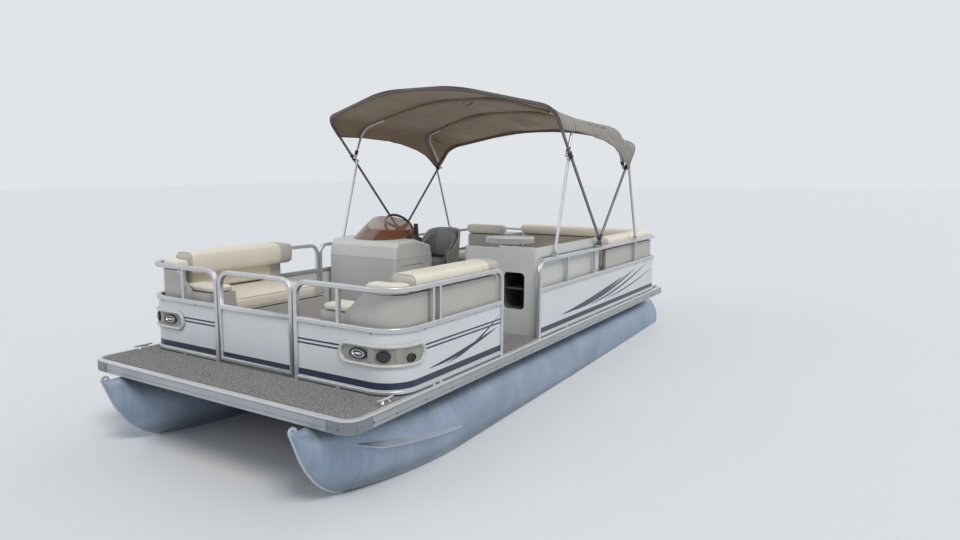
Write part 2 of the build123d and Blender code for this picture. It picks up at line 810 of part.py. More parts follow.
with BuildPart() as console:
    with BuildSketch(Plane((0, console_inner, 0), x_dir=(1, 0, 0), z_dir=(0, -1, 0))):
        with BuildLine():
            add(console_profile(0))
        make_face()
    extrude(amount=console_inner - console_outer)
    fillet(console.faces().sort_by(Axis.Y)[-1].edges().filter_by(lambda e: e.center().Z > up(5)), 26)
    with BuildSketch(Plane((0, console_inner - console_wall, 0), x_dir=(1, 0, 0), z_dir=(0, -1, 0))):
        with BuildLine():
            add(console_profile(console_wall))
        make_face()
    extrude(amount=console_inner - console_outer - 2 * console_wall, mode=Mode.SUBTRACT)
    with BuildSketch(Plane((0, console_inner + 1, 0), x_dir=(1, 0, 0), z_dir=(0, -1, 0))):
        with Locations((aft((door_front + door_aft) / 2), up((door_low + door_high) / 2))):
            RectangleRounded(door_aft - door_front, door_high - door_low, 22)
    extrude(amount=console_wall + 2, mode=Mode.SUBTRACT)
    # Steering boss on the dash, bored for the wheel's shaft
    with BuildSketch(wheel_plane.offset(-110)):
        Circle(30)
    extrude(amount=-110)
    with BuildSketch(wheel_plane.offset(-100)):
        Circle(wheel_shaft + pin_fit)
    extrude(amount=-140, mode=Mode.SUBTRACT)
    # The door's hinge: a leaf with two knuckles and the pin
    for low, high in door_knuckles:
        with BuildSketch(Plane((door_axis_x, door_axis_y, up(low)))):
            Circle(door_knuckle)
        extrude(amount=high - low)
    with BuildSketch(Plane((door_axis_x, door_axis_y, up(door_knuckles[0][0])))):
        Circle(door_pin)
    extrude(amount=door_knuckles[1][1] - door_knuckles[0][0])
    for low, high in door_knuckles:
        with BuildSketch(Plane((door_axis_x + 12, console_inner + 1, up(low)))):
            Rectangle(24, 3)
        extrude(amount=high - low)
        with BuildSketch(Plane((door_axis_x, console_inner + 2, up(low)))):
            Rectangle(6, 4)
        extrude(amount=high - low)
keep(console.part, "console")

with BuildPart() as console_door:
    with BuildSketch(Plane((0, console_inner, 0), x_dir=(1, 0, 0), z_dir=(0, -1, 0))):
        with Locations((aft((door_front + door_aft) / 2), up((door_low + door_high) / 2))):
            RectangleRounded(door_aft - door_front - 2 * door_gap, door_high - door_low - 2 * door_gap, 18)
    extrude(amount=8)
    with BuildSketch(Plane((0, console_inner, 0), x_dir=(1, 0, 0), z_dir=(0, -1, 0))):
        with Locations((aft(door_aft - 34), up(door_high - 60))):
            RectangleRounded(26, 44, 6)
    extrude(amount=-9)
    # Long hinge knuckle between the console's two
    low, high = door_knuckles[0][1] + 0.4, door_knuckles[1][0] - 0.4
    with BuildSketch(Plane((door_axis_x - 14, console_inner + 1, up(low)))):
        Rectangle(24, 3)
    extrude(amount=high - low)
    with BuildSketch(Plane((door_axis_x, door_axis_y, up(low)))):
        Circle(door_knuckle)
    extrude(amount=high - low)
    with BuildSketch(Plane((door_axis_x - 3, console_inner + 2.5, up(low)))):
        Rectangle(5, 5)
    extrude(amount=high - low)
    with BuildSketch(Plane((door_axis_x, door_axis_y, up(low - 10)))):
        Circle(door_pin + pin_fit)
    extrude(amount=high - low + 20, mode=Mode.SUBTRACT)
keep(console_door.part, "console_door")

# Tinted windscreen: a round-fronted sheet raked far aft, which stands on the dash
screen_thick = 8.0  # along the deck; the raked sheet itself is about 4 mm
screen_front = 2420.0
screen_outer = -1050.0
screen_inner = -470.0
screen_rake = (-390, 0, 245)
with BuildPart() as windscreen:
    for rise, way in ((262.0, 1), (70.0, -1)):
        with BuildSketch(Plane.XY.offset(up(console_brow))):
            with BuildLine():
                FilletPolyline(
                    (aft(2960), screen_outer),
                    (aft(screen_front), screen_outer),
                    (aft(screen_front), screen_inner),
                    (aft(2960), screen_inner),
                    radius=260,
                )
            trace(line_width=screen_thick)
        extrude(amount=rise * Vector(screen_rake).length / screen_rake[2], dir=[way * c for c in screen_rake])
    # Its foot follows the dash, and its aft edge falls steeply
    with BuildSketch(Plane((0, console_inner, 0), x_dir=(1, 0, 0), z_dir=(0, -1, 0))):
        with BuildLine():
            Polyline(
                (aft(2100), up(500)),
                (aft(2100), up(console_brow + 0.4)),
                (aft(console_front + 60), up(console_brow + 0.4)),
                (aft(console_front + dash_top[0]), up(dash_top[1] + 0.4)),
                (aft(console_front + dash_foot[0]), up(dash_foot[1] + 0.4)),
                (aft(3500), up(500)),
                close=True,
            )
        make_face()
        with BuildLine():
            Polyline((aft(2740), up(965)), (aft(2905), up(640)), (aft(3500), up(640)), (aft(3500), up(965)), close=True)
        make_face()
    extrude(amount=console_inner - console_outer, mode=Mode.SUBTRACT)
keep(windscreen.part, "windscreen")

# Steering wheel on the sloping dash
with BuildPart() as steering_wheel:
    with BuildSketch(Plane(wheel_centre, x_dir=(0, 1, 0), z_dir=wheel_plane.y_dir)):
        with Locations((wheel_radius, 0)):
            Circle(13)
    revolve(axis=Axis(wheel_centre, wheel_axis))
    with BuildSketch(wheel_plane.offset(-34)):
        Circle(36)
    extrude(amount=38)
    with BuildSketch(wheel_plane.offset(-10)):
        with PolarLocations(wheel_radius / 2 + 10, 3, start_angle=90):
            Rectangle(wheel_radius - 24, 26)
    extrude(amount=8)
    with BuildSketch(wheel_plane.offset(-34)):
        Circle(wheel_shaft)
    extrude(amount=-160)
keep(steering_wheel.part, "steering_wheel")

# Throttle box and lever on the console's inboard dash
throttle_aft = 440.0
throttle_y = console_inner - 76
dash_fall = (dash_top[1] - dash_foot[1]) / (dash_foot[0] - dash_top[0])
throttle_foot = dash_top[1] - (throttle_aft - dash_top[0]) * dash_fall
with BuildPart() as throttle:
    seat = (aft(console_front + throttle_aft), throttle_y, up(throttle_foot + 0.4))
    with BuildSketch(Plane(seat, z_dir=(-dash_fall, 0, 1))):
        RectangleRounded(120, 60, 10)
    extrude(amount=46)
    with BuildSketch(Plane((seat[0] - 8, throttle_y, up(throttle_foot + 25)), z_dir=(0.1, 0, 1))):
        Rectangle(18, 40)
    extrude(amount=150)
keep(throttle.part, "throttle")

# Helm chair
chair = (3400.0, -655.0)
chair_pivot_top = 300.0
with BuildPart() as chair_pedestal:
    with BuildSketch(Plane((aft(chair[0]), chair[1], up(0)))):
        Circle(150)
    extrude(amount=10)
    with BuildSketch(Plane((aft(chair[0]), chair[1], up(10)))):
        Circle(37)
    extrude(amount=chair_pivot_top - 10)
    fillet(chair_pedestal.faces().sort_by(Axis.Z)[0].edges(), 2)
keep(chair_pedestal.part, "chair_pedestal")

seat_wide = 500.0
shell_thick = 24.0
chair_rear = 272.0  # outside of the shell's back, aft of the pivot
back_pad = 60.0
back_rake = 0.12  # the back leans aft by this share of its height


def chair_wall(inset, thick, low, high, round_corner):
    """The wrapped back, inset from the shell's outside, between heights over the deck."""
    shift = back_rake * (low - chair_pivot_top - 18)
    side = seat_wide / 2 - inset - thick / 2
    rear = aft(chair[0] + chair_rear - inset - thick / 2 + shift)
    front = aft(chair[0] - 60 + inset + shift)
    with BuildPart() as wall:
        with BuildSketch(Plane.XY.offset(up(low))):
            with BuildLine():
                FilletPolyline(
                    (front, chair[1] - side),
                    (rear, chair[1] - side),
                    (rear, chair[1] + side),
                    (front, chair[1] + side),
                    radius=round_corner,
                )
            trace(line_width=thick)
        extrude(amount=(high - low) * hypot(1, back_rake), dir=(-back_rake, 0, 1))
    return wall.part


def rim_cut(drop):
    """What is above the chair's rim, which falls from the back to the arms."""
    rim = [(-120, 500), (60, 540), (170, 640), (250, 730), (330, 762), (460, 762), (460, 900), (-120, 900)]
    with BuildPart() as cut:
        with BuildSketch(Plane((0, chair[1] + seat_wide, 0), x_dir=(1, 0, 0), z_dir=(0, -1, 0))):
            with BuildLine():
                Polyline(*[(aft(chair[0] + a), up(h + drop)) for a, h in rim], close=True)
            make_face()
        extrude(amount=2 * seat_wide)
    return cut.part


with BuildPart() as chair_shell:
    with BuildSketch(Plane((aft(chair[0]), chair[1], up(chair_pivot_top + 0.4)))):
        Rectangle(300, 260)
    extrude(amount=18)
    with BuildSketch(Plane((aft(chair[0] + 6), chair[1], up(chair_pivot_top + 18)))):
        RectangleRounded(500, seat_wide - 4, 60)
    extrude(amount=shell_thick)
    add(chair_wall(0, shell_thick, chair_pivot_top + 20, 800, 170))
    add(rim_cut(0), mode=Mode.SUBTRACT)
keep(chair_shell.part, "chair_shell")

with BuildPart() as chair_cushions:
    add(soft_box(chair[0] - 240, chair[0] + 178, chair[1] - 214, chair[1] + 214,
                 chair_pivot_top + 42.4, chair_pivot_top + 140, 30))
    add(chair_wall(shell_thick + 0.5, back_pad, chair_pivot_top + 141, 810, 130))
    add(rim_cut(12), mode=Mode.SUBTRACT)
keep(chair_cushions.part, "chair_cushions")

# Galley cabinet on the port side, with a cubby facing the side gate and a sink in its top
galley_front = 2345.0
galley_step = 2960.0
galley_aft = 3740.0
galley_outer = 1150.0
galley_inner = 430.0
galley_ledge = 780.0
galley_high = 722.0
galley_fascia = 30.0
galley_wall = 10.0
galley_counter = 618.0  # what the worktop lies on
worktop_thick = 34.0
ledge_low = 664.0  # the ledge reaches past the cabinet just over the fence's rail
ledge_high = 740.0
ledge_outer = 1160.0
ledge_aft = 3840.0
sink = (2655.0, 610.0)
sink_radius = 128.0
cubby_y = (834.0, 1030.0)
cubby_z = (214.0, 524.0)
cubby_deep = 320.0


def galley_plan(inset):
    with BuildLine() as outline:
        FilletPolyline(
            (aft(galley_front + inset), galley_inner + inset),
            (aft(galley_front + inset), galley_outer - inset),
            (aft(galley_aft - inset), galley_outer - inset),
            (aft(galley_aft - inset), galley_ledge + inset),
            (aft(galley_step - inset), galley_ledge + inset),
            (aft(galley_step - inset), galley_inner + inset),
            radius=max(40 - inset, 10),
            close=True,
        )
    return outline.line


def galley_ledge_plan(inset):
    with BuildLine() as outline:
        FilletPolyline(
            (aft(galley_front + inset), galley_ledge + inset),
            (aft(galley_front + inset), ledge_outer - 60),
            (aft(galley_front + 70), ledge_outer - inset),
            (aft(ledge_aft - inset), ledge_outer - inset),
            (aft(ledge_aft - inset), galley_ledge + inset),
            radius=[12, 20, 20, 80, 80],
            close=True,
        )
    return outline.line


def galley_void():
    """The hollow inside the cabinet, round the cubby and under the worktop."""
    with BuildPart() as void:
        with BuildSketch(Plane.XY.offset(up(0))):
            with BuildLine():
                add(galley_plan(galley_wall))
            make_face()
        extrude(amount=galley_counter - galley_wall)
        with BuildSketch(Plane.XY.offset(up(galley_counter - galley_wall - 1))):
            with Locations((aft((galley_front + galley_aft) / 2), (galley_ledge + galley_outer) / 2)):
                Rectangle(galley_aft - galley_front - 80, galley_outer - galley_ledge - 2 * galley_wall)
        extrude(amount=ledge_high - galley_counter - galley_wall)
        with BuildSketch(Plane((aft(galley_front) + 1, 0, 0), x_dir=(0, 1, 0), z_dir=(1, 0, 0))):
            with Locations((sum(cubby_y) / 2, up(sum(cubby_z) / 2))):
                Rectangle(cubby_y[1] - cubby_y[0] + 20, cubby_z[1] - cubby_z[0] + 20)
        extrude(amount=-cubby_deep - 10, mode=Mode.SUBTRACT)
    return void.part


with BuildPart() as galley:
    with BuildSketch(Plane.XY.offset(up(0))):
        with BuildLine():
            add(galley_plan(0))
        make_face()
    extrude(amount=galley_high)
    with BuildSketch(Plane.XY.offset(up(ledge_low))):
        with BuildLine():
            add(galley_ledge_plan(0))
        make_face()
    extrude(amount=ledge_high - ledge_low)
    # Worktop well, behind the fascia and inboard of the ledge
    with BuildSketch(Plane.XY.offset(up(galley_counter))):
        with Locations((aft(galley_front + galley_fascia + 400), galley_ledge - 250)):
            Rectangle(800, 500)
    extrude(amount=200, mode=Mode.SUBTRACT)
    with BuildSketch(Plane((aft(galley_front) + 1, 0, 0), x_dir=(0, 1, 0), z_dir=(1, 0, 0))):
        with Locations((sum(cubby_y) / 2, up(sum(cubby_z) / 2))):
            RectangleRounded(cubby_y[1] - cubby_y[0], cubby_z[1] - cubby_z[0], 38)
    extrude(amount=-cubby_deep, mode=Mode.SUBTRACT)
    add(galley_void(), mode=Mode.SUBTRACT)
    with BuildSketch(Plane((aft(galley_front + 14), 0, 0), x_dir=(0, 1, 0), z_dir=(1, 0, 0))):
        with Locations((sum(cubby_y) / 2, up(386))):
            Rectangle(cubby_y[1] - cubby_y[0] + 2, 10)
    extrude(amount=-cubby_deep + 16)
keep(galley.part, "galley_cabinet")

with BuildPart() as galley_top:
    with BuildSketch(Plane.XY.offset(up(galley_counter + 0.3))):
        with BuildLine():
            FilletPolyline(
                (aft(galley_front + galley_fascia + 0.4), galley_inner + 2),
                (aft(galley_front + galley_fascia + 0.4), galley_ledge - 0.4),
                (aft(galley_step - 2), galley_ledge - 0.4),
                (aft(galley_step - 2), galley_inner + 2),
                radius=[0.5, 0.5, 3, 38],
                close=True,
            )
        make_face()
    extrude(amount=worktop_thick)
    with BuildSketch(Plane.XY.offset(up(galley_counter + 0.3 + worktop_thick))):
        with Locations((aft(sink[0]), sink[1])):
            Circle(sink_radius)
    extrude(amount=-28, mode=Mode.SUBTRACT)
keep(galley_top.part, "galley_top")

# Round cockpit table on its post
table = (3740.0, 135.0)
table_radius = 258.0
with BuildPart() as cockpit_table:
    with BuildSketch(Plane((aft(table[0]), table[1], 0), x_dir=(1, 0, 0), z_dir=(0, -1, 0))):
        with BuildLine():
            Polyline(
                (0, up(0)),
                (115, up(0)),
                (115, up(8)),
                (30, up(24)),
                (30, up(652)),
                (table_radius - 16, up(652)),
                (table_radius - 16, up(634)),
                (table_radius, up(634)),
                (table_radius, up(682)),
                (table_radius - 8, up(690)),
                (table_radius - 26, up(690)),
                (table_radius - 30, up(682)),
                (0, up(682)),
                close=True,
            )
        make_face()
    revolve(axis=Axis((aft(table[0]), table[1], 0), (0, 0, 1)))
keep(cockpit_table.part, "cockpit_table")

# Canopy frame: bows turn on pins in the rail mounts and in the jaw slides
pin_radius = 4.0
eye_radius = 15.0
eye_width = 25.0
leg_front = 1219.0  # tube axis of the front main bow and the rear struts
leg_main = 1188.0  # rear main bow, second bow and front struts
leg_third = 1158.0
crown_drop = 262.0
crown_half = 380.0
shoulder_radius = 165.0
crown_radius = 2250.0
pivot = (pivot_aft, pivot_up)
front_hinge = (2788.0, 1507.0)
rear_hinge = (4307.0, 1434.0)
front_crown = (2256.0, 2057.0)
rear_crown = (4730.0, 1870.0)
second_crown = (3030.0, 2050.0)
third_crown = (3850.0, 2000.0)
front_foot = (2593.0, pivot_up)
rear_foot = (4596.0, pivot_up)
strut_pin_drop = 46.0


def along(a, b, distance):
    """The point at a distance from a towards b, as (aft, height)."""
    step = towards(a, b)
    return (a[0] + step[0] * distance, a[1] + step[1] * distance)


def reach(a, b):
    return hypot(b[0] - a[0], b[1] - a[1])


def eye(point, y, radius=eye_radius):
    """The flattened eye at a tube's end, bored for its pin along Y."""
    with BuildPart() as ring:
        with BuildSketch(Plane((aft(point[0]), y + eye_width / 2, up(point[1])), x_dir=(1, 0, 0), z_dir=(0, -1, 0))):
            Circle(radius)
            Circle(pin_radius + pin_fit, mode=Mode.SUBTRACT)
        extrude(amount=eye_width)
    return ring.part


def bow(foot, crown, leg):
    """One U-shaped bow from its two eyes over the crown, in its own leaning plane."""
    rise = reach(foot, crown)
    lean = towards(foot, crown)
    plane = Plane((aft(foot[0]), 0, up(foot[1])), x_dir=(0, 1, 0), z_dir=(lean[1], 0, lean[0]))
    start = eye_radius - 3
    if plane.y_dir.Z < 0:
        plane = Plane(plane.origin, x_dir=(0, 1, 0), z_dir=(-lean[1], 0, -lean[0]))
    with BuildPart() as tube:
        with BuildLine(plane) as route:
            FilletPolyline(
                (leg, start),
                (leg, rise - crown_drop),
                (crown_half, rise),
                (-crown_half, rise),
                (-leg, rise - crown_drop),
                (-leg, start),
                radius=[shoulder_radius, crown_radius, crown_radius, shoulder_radius],
            )
        with BuildSketch(Plane(route.line @ 0, z_dir=route.line % 0)):
            Circle(bow_tube / 2)
        sweep(path=route.line)
        add(eye(foot, leg))
        add(eye(foot, -leg))
    with BuildPart() as bored:
        add(tube.part)
        with BuildSketch(Plane((aft(foot[0]), leg + 60, up(foot[1])), x_dir=(1, 0, 0), z_dir=(0, -1, 0))):
            Circle(pin_radius + pin_fit)
        extrude(amount=2 * leg + 120, mode=Mode.SUBTRACT)
    return bored.part


def strut(top, foot, leg, own_pin=False):
    """A straight tube with an eye at each end; a lift-off foot carries its own pin."""
    length = reach(top, foot)
    start = along(top, foot, eye_radius - 3)
    stop = along(top, foot, length - eye_radius + 3)
    step = towards(top, foot)
    with BuildPart() as tube:
        for side in (-1, 1):
            with BuildSketch(Plane((aft(start[0]), side * leg, up(start[1])), z_dir=(-step[0], 0, step[1]))):
                Circle(bow_tube / 2)
            extrude(amount=reach(start, stop))
            add(eye(top, side * leg))
            add(eye(foot, side * leg))
            for point in (top, foot):
                with BuildSketch(Plane((aft(point[0]), side * leg - 30, up(point[1])), z_dir=(0, 1, 0))):
                    Circle(pin_radius + pin_fit)
                extrude(amount=60, mode=Mode.SUBTRACT)
            if own_pin:
                with BuildSketch(Plane((aft(foot[0]), side * leg - 20, up(foot[1])), z_dir=(0, 1, 0))):
                    Circle(pin_radius + 1)
                extrude(amount=40)
    return tube.part


strut_pin = along(pivot, front_hinge, reach(pivot, front_hinge) - strut_pin_drop)
with BuildPart() as front_bow:
    add(bow(pivot, front_crown, leg_front))
    for side in (-1, 1):
        for point in (front_hinge, strut_pin):
            lean = towards(pivot, front_crown)
            with BuildSketch(Plane((aft(point[0]), side * leg_front, up(point[1])), z_dir=(-lean[0], 0, lean[1]))):
                Circle(bow_tube / 2 + 2)
            extrude(amount=15, both=True)
            inner_end = side * (leg_main - eye_width / 2 - 3)
            with BuildSketch(Plane((aft(point[0]), inner_end, up(point[1])), z_dir=(0, side, 0))):
                Circle(pin_radius)
            extrude(amount=leg_front - leg_main + eye_width / 2 + 3)
keep(front_bow.part, "bimini_front_bow")
keep(bow(front_hinge, second_crown, leg_main), "bimini_second_bow")
keep(strut(strut_pin, front_foot, leg_main, own_pin=True), "bimini_front_struts")
with BuildPart() as rear_bow:
    add(bow(pivot, rear_crown, leg_main))
    for side in (-1, 1):
        lean = towards(pivot, rear_crown)
        with BuildSketch(Plane((aft(rear_hinge[0]), side * leg_main, up(rear_hinge[1])), z_dir=(-lean[0], 0, lean[1]))):
            Circle(bow_tube / 2 + 2)
        extrude(amount=15, both=True)
        inner_end = side * (leg_third - eye_width / 2 - 3)
        with BuildSketch(Plane((aft(rear_hinge[0]), inner_end, up(rear_hinge[1])), z_dir=(0, side, 0))):
            Circle(pin_radius)
        extrude(amount=leg_front + eye_width / 2 + 3 - leg_third + eye_width / 2 + 3)
keep(rear_bow.part, "bimini_rear_bow")
keep(bow(rear_hinge, third_crown, leg_third), "bimini_third_bow")
keep(strut(rear_hinge, rear_foot, leg_front), "bimini_rear_struts")

# Rail mounts: a saddle on the top rail with its pin
mount_base = 10.0
with BuildPart() as mounts:
    # foot, pin's inner and outer Y
    for foot, inner_y, outer_y in (
        (pivot, leg_main - 18, leg_front + 18),
        (front_foot, leg_main - 18, leg_main + 18),
        (rear_foot, leg_front - 18, leg_front + 18),
    ):
        for side in (-1, 1):
            with BuildSketch(Plane((aft(foot[0]), side * (inner_y - 4 + outer_y + 4) / 2, up(rail_top)))):
                Rectangle(56, outer_y - inner_y + 8)
            extrude(amount=mount_base)
            lift_off = foot is front_foot
            ear_top = foot[1] - pin_radius - 1.2 if lift_off else foot[1] + 9
            for y in (inner_y - 1, outer_y + 1):
                with BuildSketch(Plane((aft(foot[0]), side * y, up(rail_top + mount_base - 1)))):
                    Rectangle(26, 6)
                extrude(amount=ear_top - rail_top - mount_base + 1)
            if not lift_off:
                with BuildSketch(Plane((aft(foot[0]), side * (inner_y - 2), up(foot[1])), z_dir=(0, side, 0))):
                    Circle(pin_radius)
                extrude(amount=outer_y - inner_y + 4)
keep(mounts.part, "bimini_mounts")

# Canopy: a thin arched sheet over the four bows
canvas = 6.0
canopy_half = leg_main + 12
# foot, crown, leg, lower edge's height over the deck
canopy_bows = [
    (pivot, front_crown, leg_front, 1700.0),
    (front_hinge, second_crown, leg_main, 1712.0),
    (rear_hinge, third_crown, leg_third, 1600.0),
    (pivot, rear_crown, leg_main, 1478.0),
]


def canopy_section(foot, crown, leg, hem, side_grow, crown_grow, drop):
    """A closed arch round one bow, grown outwards, with its hem lowered by drop."""
    rise = reach(foot, crown)
    lean = towards(foot, crown)
    half = max(leg, canopy_half) + side_grow
    low = (hem - drop - foot[1]) / lean[1]
    plane = Plane((aft(foot[0]), 0, up(foot[1])), x_dir=(0, 1, 0), z_dir=(lean[1], 0, lean[0]))
    if plane.y_dir.Z < 0:
        plane = Plane(plane.origin, x_dir=(0, 1, 0), z_dir=(-lean[1], 0, -lean[0]))
    with BuildSketch(plane) as section:
        with BuildLine():
            arch = FilletPolyline(
                (half, low),
                (half, rise - crown_drop + crown_grow),
                (crown_half, rise + crown_grow),
                (-crown_half, rise + crown_grow),
                (-half, rise - crown_drop + crown_grow),
                (-half, low),
                radius=[shoulder_radius, crown_radius, crown_radius, shoulder_radius],
            )
            Line(arch @ 1, arch @ 0)
        make_face()
    return section.sketch


side_gap = bow_tube / 2 + 1.0
crown_gap = bow_tube / 2 + 8.0
with BuildPart() as canopy_inside:
    for foot, crown, leg, hem in canopy_bows:
        add(canopy_section(foot, crown, leg, hem, side_gap, crown_gap, 14))
    loft(ruled=True)
with BuildPart() as canopy:
    for foot, crown, leg, hem in canopy_bows:
        add(canopy_section(foot, crown, leg, hem, side_gap + canvas, crown_gap + canvas, 0))
    loft(ruled=True)
    add(canopy_inside.part, mode=Mode.SUBTRACT)
keep(canopy.part, "bimini_canopy")

# Outboard, stored tilted up about the clamp bracket's tube
tilt_axis = Vector(aft(transom_aft - 26), 0, transom_top + 34)
lean_back = radians(tilt_rest)
motor_frame = Plane(tilt_axis, x_dir=(cos(lean_back), 0, -sin(lean_back)), z_dir=(sin(lean_back), 0, cos(lean_back)))
steer_back = -130.0  # the steering axis in the motor's own frame


def motor_plane(x, y, z, normal="z"):
    """A plane in the motor's frame, which leans with the tilt."""
    origin = motor_frame.from_local_coords(Vector(x, y, z))
    if normal == "z":
        return Plane(origin, x_dir=motor_frame.x_dir, z_dir=motor_frame.z_dir)
    if normal == "y":
        return Plane(origin, x_dir=motor_frame.x_dir, z_dir=-motor_frame.y_dir)
    return Plane(origin, x_dir=motor_frame.y_dir, z_dir=motor_frame.x_dir)


clamp_half = 120.0
tilt_tube = 16.0
with BuildPart() as clamp:
    for side in (-1, 1):
        with BuildSketch(Plane((0, side * clamp_half, 0), x_dir=(1, 0, 0), z_dir=(0, -1, 0))):
            with BuildLine():
                Polyline(
                    (aft(transom_aft) - 0.3, transom_top - 250),
                    (aft(transom_aft) - 34, transom_top - 250),
                    (aft(transom_aft) - 40, transom_top - 30),
                    (aft(transom_aft) - 10, transom_top + 62),
                    (aft(transom_aft) + 60, transom_top + 62),
                    (aft(transom_aft) + 84, transom_top + 30),
                    (aft(transom_aft) + 84, transom_top - 70),
                    (aft(transom_aft) + transom_thick + 0.3, transom_top - 70),
                    (aft(transom_aft) + transom_thick + 0.3, transom_top + 0.3),
                    (aft(transom_aft) - 0.3, transom_top + 0.3),
                    close=True,
                )
            make_face()
        extrude(amount=side * 18)
    with BuildSketch(Plane((tilt_axis.X, -clamp_half, tilt_axis.Z), z_dir=(0, 1, 0))):
        Circle(tilt_tube)
    extrude(amount=2 * clamp_half)
keep(clamp.part, "outboard_clamp")

swivel_half = clamp_half - 18 - 6
swivel_tube = 32.0
with BuildPart() as swivel:
    with BuildSketch(motor_plane(0, -swivel_half, 0, "y").offset(0)):
        Circle(tilt_tube + 12)
    extrude(amount=-2 * swivel_half)
    with BuildSketch(motor_plane(0, 0, 22)):
        with Locations((steer_back / 2, 0)):
            Rectangle(-steer_back, 110)
    extrude(amount=-44)
    with BuildSketch(motor_plane(steer_back, 0, 26)):
        Circle(swivel_tube + 14)
    extrude(amount=-300)
    with BuildSketch(motor_plane(0, -swivel_half - 1, 0, "y")):
        Circle(tilt_tube + 0.08)
    extrude(amount=-2 * swivel_half - 2, mode=Mode.SUBTRACT)
    with BuildSketch(motor_plane(steer_back, 0, 40)):
        Circle(swivel_tube - 12 + 0.08)
    extrude(amount=-340, mode=Mode.SUBTRACT)
keep(swivel.part, "outboard_swivel")

leg_bottom = -475.0
gear_z = -655.0
with BuildPart() as motor:
    # Steering shaft and the leg's upper and lower arms
    with BuildSketch(motor_plane(steer_back, 0, 60)):
        Circle(swivel_tube - 12)
    extrude(amount=-360)
    with BuildSketch(motor_plane(steer_back, 0, 70)):
        with Locations((-70, 0)):
            RectangleRounded(330, 190, 50)
    extrude(amount=-40)
    with BuildSketch(motor_plane(steer_back, 0, 30)):
        with Locations((-125, 0)):
            RectangleRounded(120, 130, 40)
    extrude(amount=-320)
    with BuildSketch(motor_plane(steer_back, 0, -280)):
        with Locations((-72, 0)):
            RectangleRounded(226, 110, 50)
    extrude(amount=-60)
    with BuildSketch(motor_plane(steer_back, 0, -340)):
        with Locations((-70, 0)):
            Ellipse(100, 36)
    with BuildSketch(motor_plane(steer_back, 0, gear_z + 30)):
        with Locations((-72, 0)):
            Ellipse(84, 26)
    loft()
    # Anti-ventilation plate
    with BuildSketch(motor_plane(steer_back, 0, leg_bottom)):
        with Locations((-105, 0)):
            SlotOverall(320, 170)
    extrude(amount=10)
    # Gearcase and skeg
    with BuildSketch(motor_plane(steer_back - 170, 0, gear_z, "x")):
        Circle(44)
    with BuildSketch(motor_plane(steer_back - 20, 0, gear_z, "x")):
        Circle(46)
    with BuildSketch(motor_plane(steer_back + 90, 0, gear_z, "x")):
        Circle(8)
    loft()
    with BuildSketch(motor_plane(0, 6, 0, "y")):
        with BuildLine():
            Polyline(
                (steer_back + 20, gear_z - 30),
                (steer_back - 130, gear_z - 30),
                (steer_back - 130, gear_z - 175),
                (steer_back - 80, gear_z - 175),
                close=True,
            )
        make_face()
    extrude(amount=12)
    # Cowl
    with BuildSketch(motor_plane(steer_back - 70, 0, 70)):
        RectangleRounded(430, 300, 90)
    with BuildSketch(motor_plane(steer_back - 70, 0, 260)):
        RectangleRounded(470, 336, 110)
    with BuildSketch(motor_plane(steer_back - 80, 0, 500)):
        RectangleRounded(400, 280, 100)
    loft()
    fillet(motor.faces().sort_by(Axis(motor_frame.origin, motor_frame.z_dir))[-1].edges(), 38)
keep(motor.part, "outboard_motor")

prop_radius = 165.0
hub_radius = 44.0
with BuildPart() as propeller:
    with BuildSketch(motor_plane(steer_back - 170.4, 0, gear_z, "x")):
        Circle(hub_radius)
    extrude(amount=-96)
    with BuildSketch(motor_plane(steer_back - 266, 0, gear_z, "x")):
        Circle(14)
    extrude(amount=-26)
with BuildPart() as blades:
    for turn in (90, 210, 330):
        a = radians(turn)
        out = motor_frame.y_dir * cos(a) + motor_frame.z_dir * sin(a)
        root = motor_frame.from_local_coords(Vector(steer_back - 218, 0, gear_z)) + out * (hub_radius - 8)
        tangent = motor_frame.x_dir.cross(out)
        chord_root = (tangent * cos(radians(50)) + motor_frame.x_dir * sin(radians(50))).normalized()
        chord_tip = (tangent * cos(radians(22)) + motor_frame.x_dir * sin(radians(22))).normalized()
        with BuildSketch(Plane(root, x_dir=chord_root, z_dir=out)):
            SlotOverall(96, 10)
        with BuildSketch(Plane(root + out * 70, x_dir=chord_tip, z_dir=out)):
            SlotOverall(140, 7)
        with BuildSketch(Plane(root + out * (prop_radius - hub_radius + 4), x_dir=chord_tip, z_dir=out)):
            SlotOverall(60, 4)
        loft()
with BuildPart() as propeller_whole:
    add(propeller.part)
    add(blades.part)
keep(propeller_whole.part, "propeller")
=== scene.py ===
# %% [markdown]
# # A pontoon boat at rest
#
# Two welded aluminium tubes carry a flat deck, and everything else stands on it: a fence of
# square tube with painted panels, padded benches, a helm and a folding sun canopy. The hard
# pieces come ready made and in place. This lesson gives them their finishes, and makes the soft
# pieces, the painted lines and the small fittings round them.

# %% Load the hard pieces
import math
import time

import bmesh
import bpy
from mathutils import Matrix, Vector, noise
from mathutils.bvhtree import BVHTree
from mathutils.kdtree import KDTree


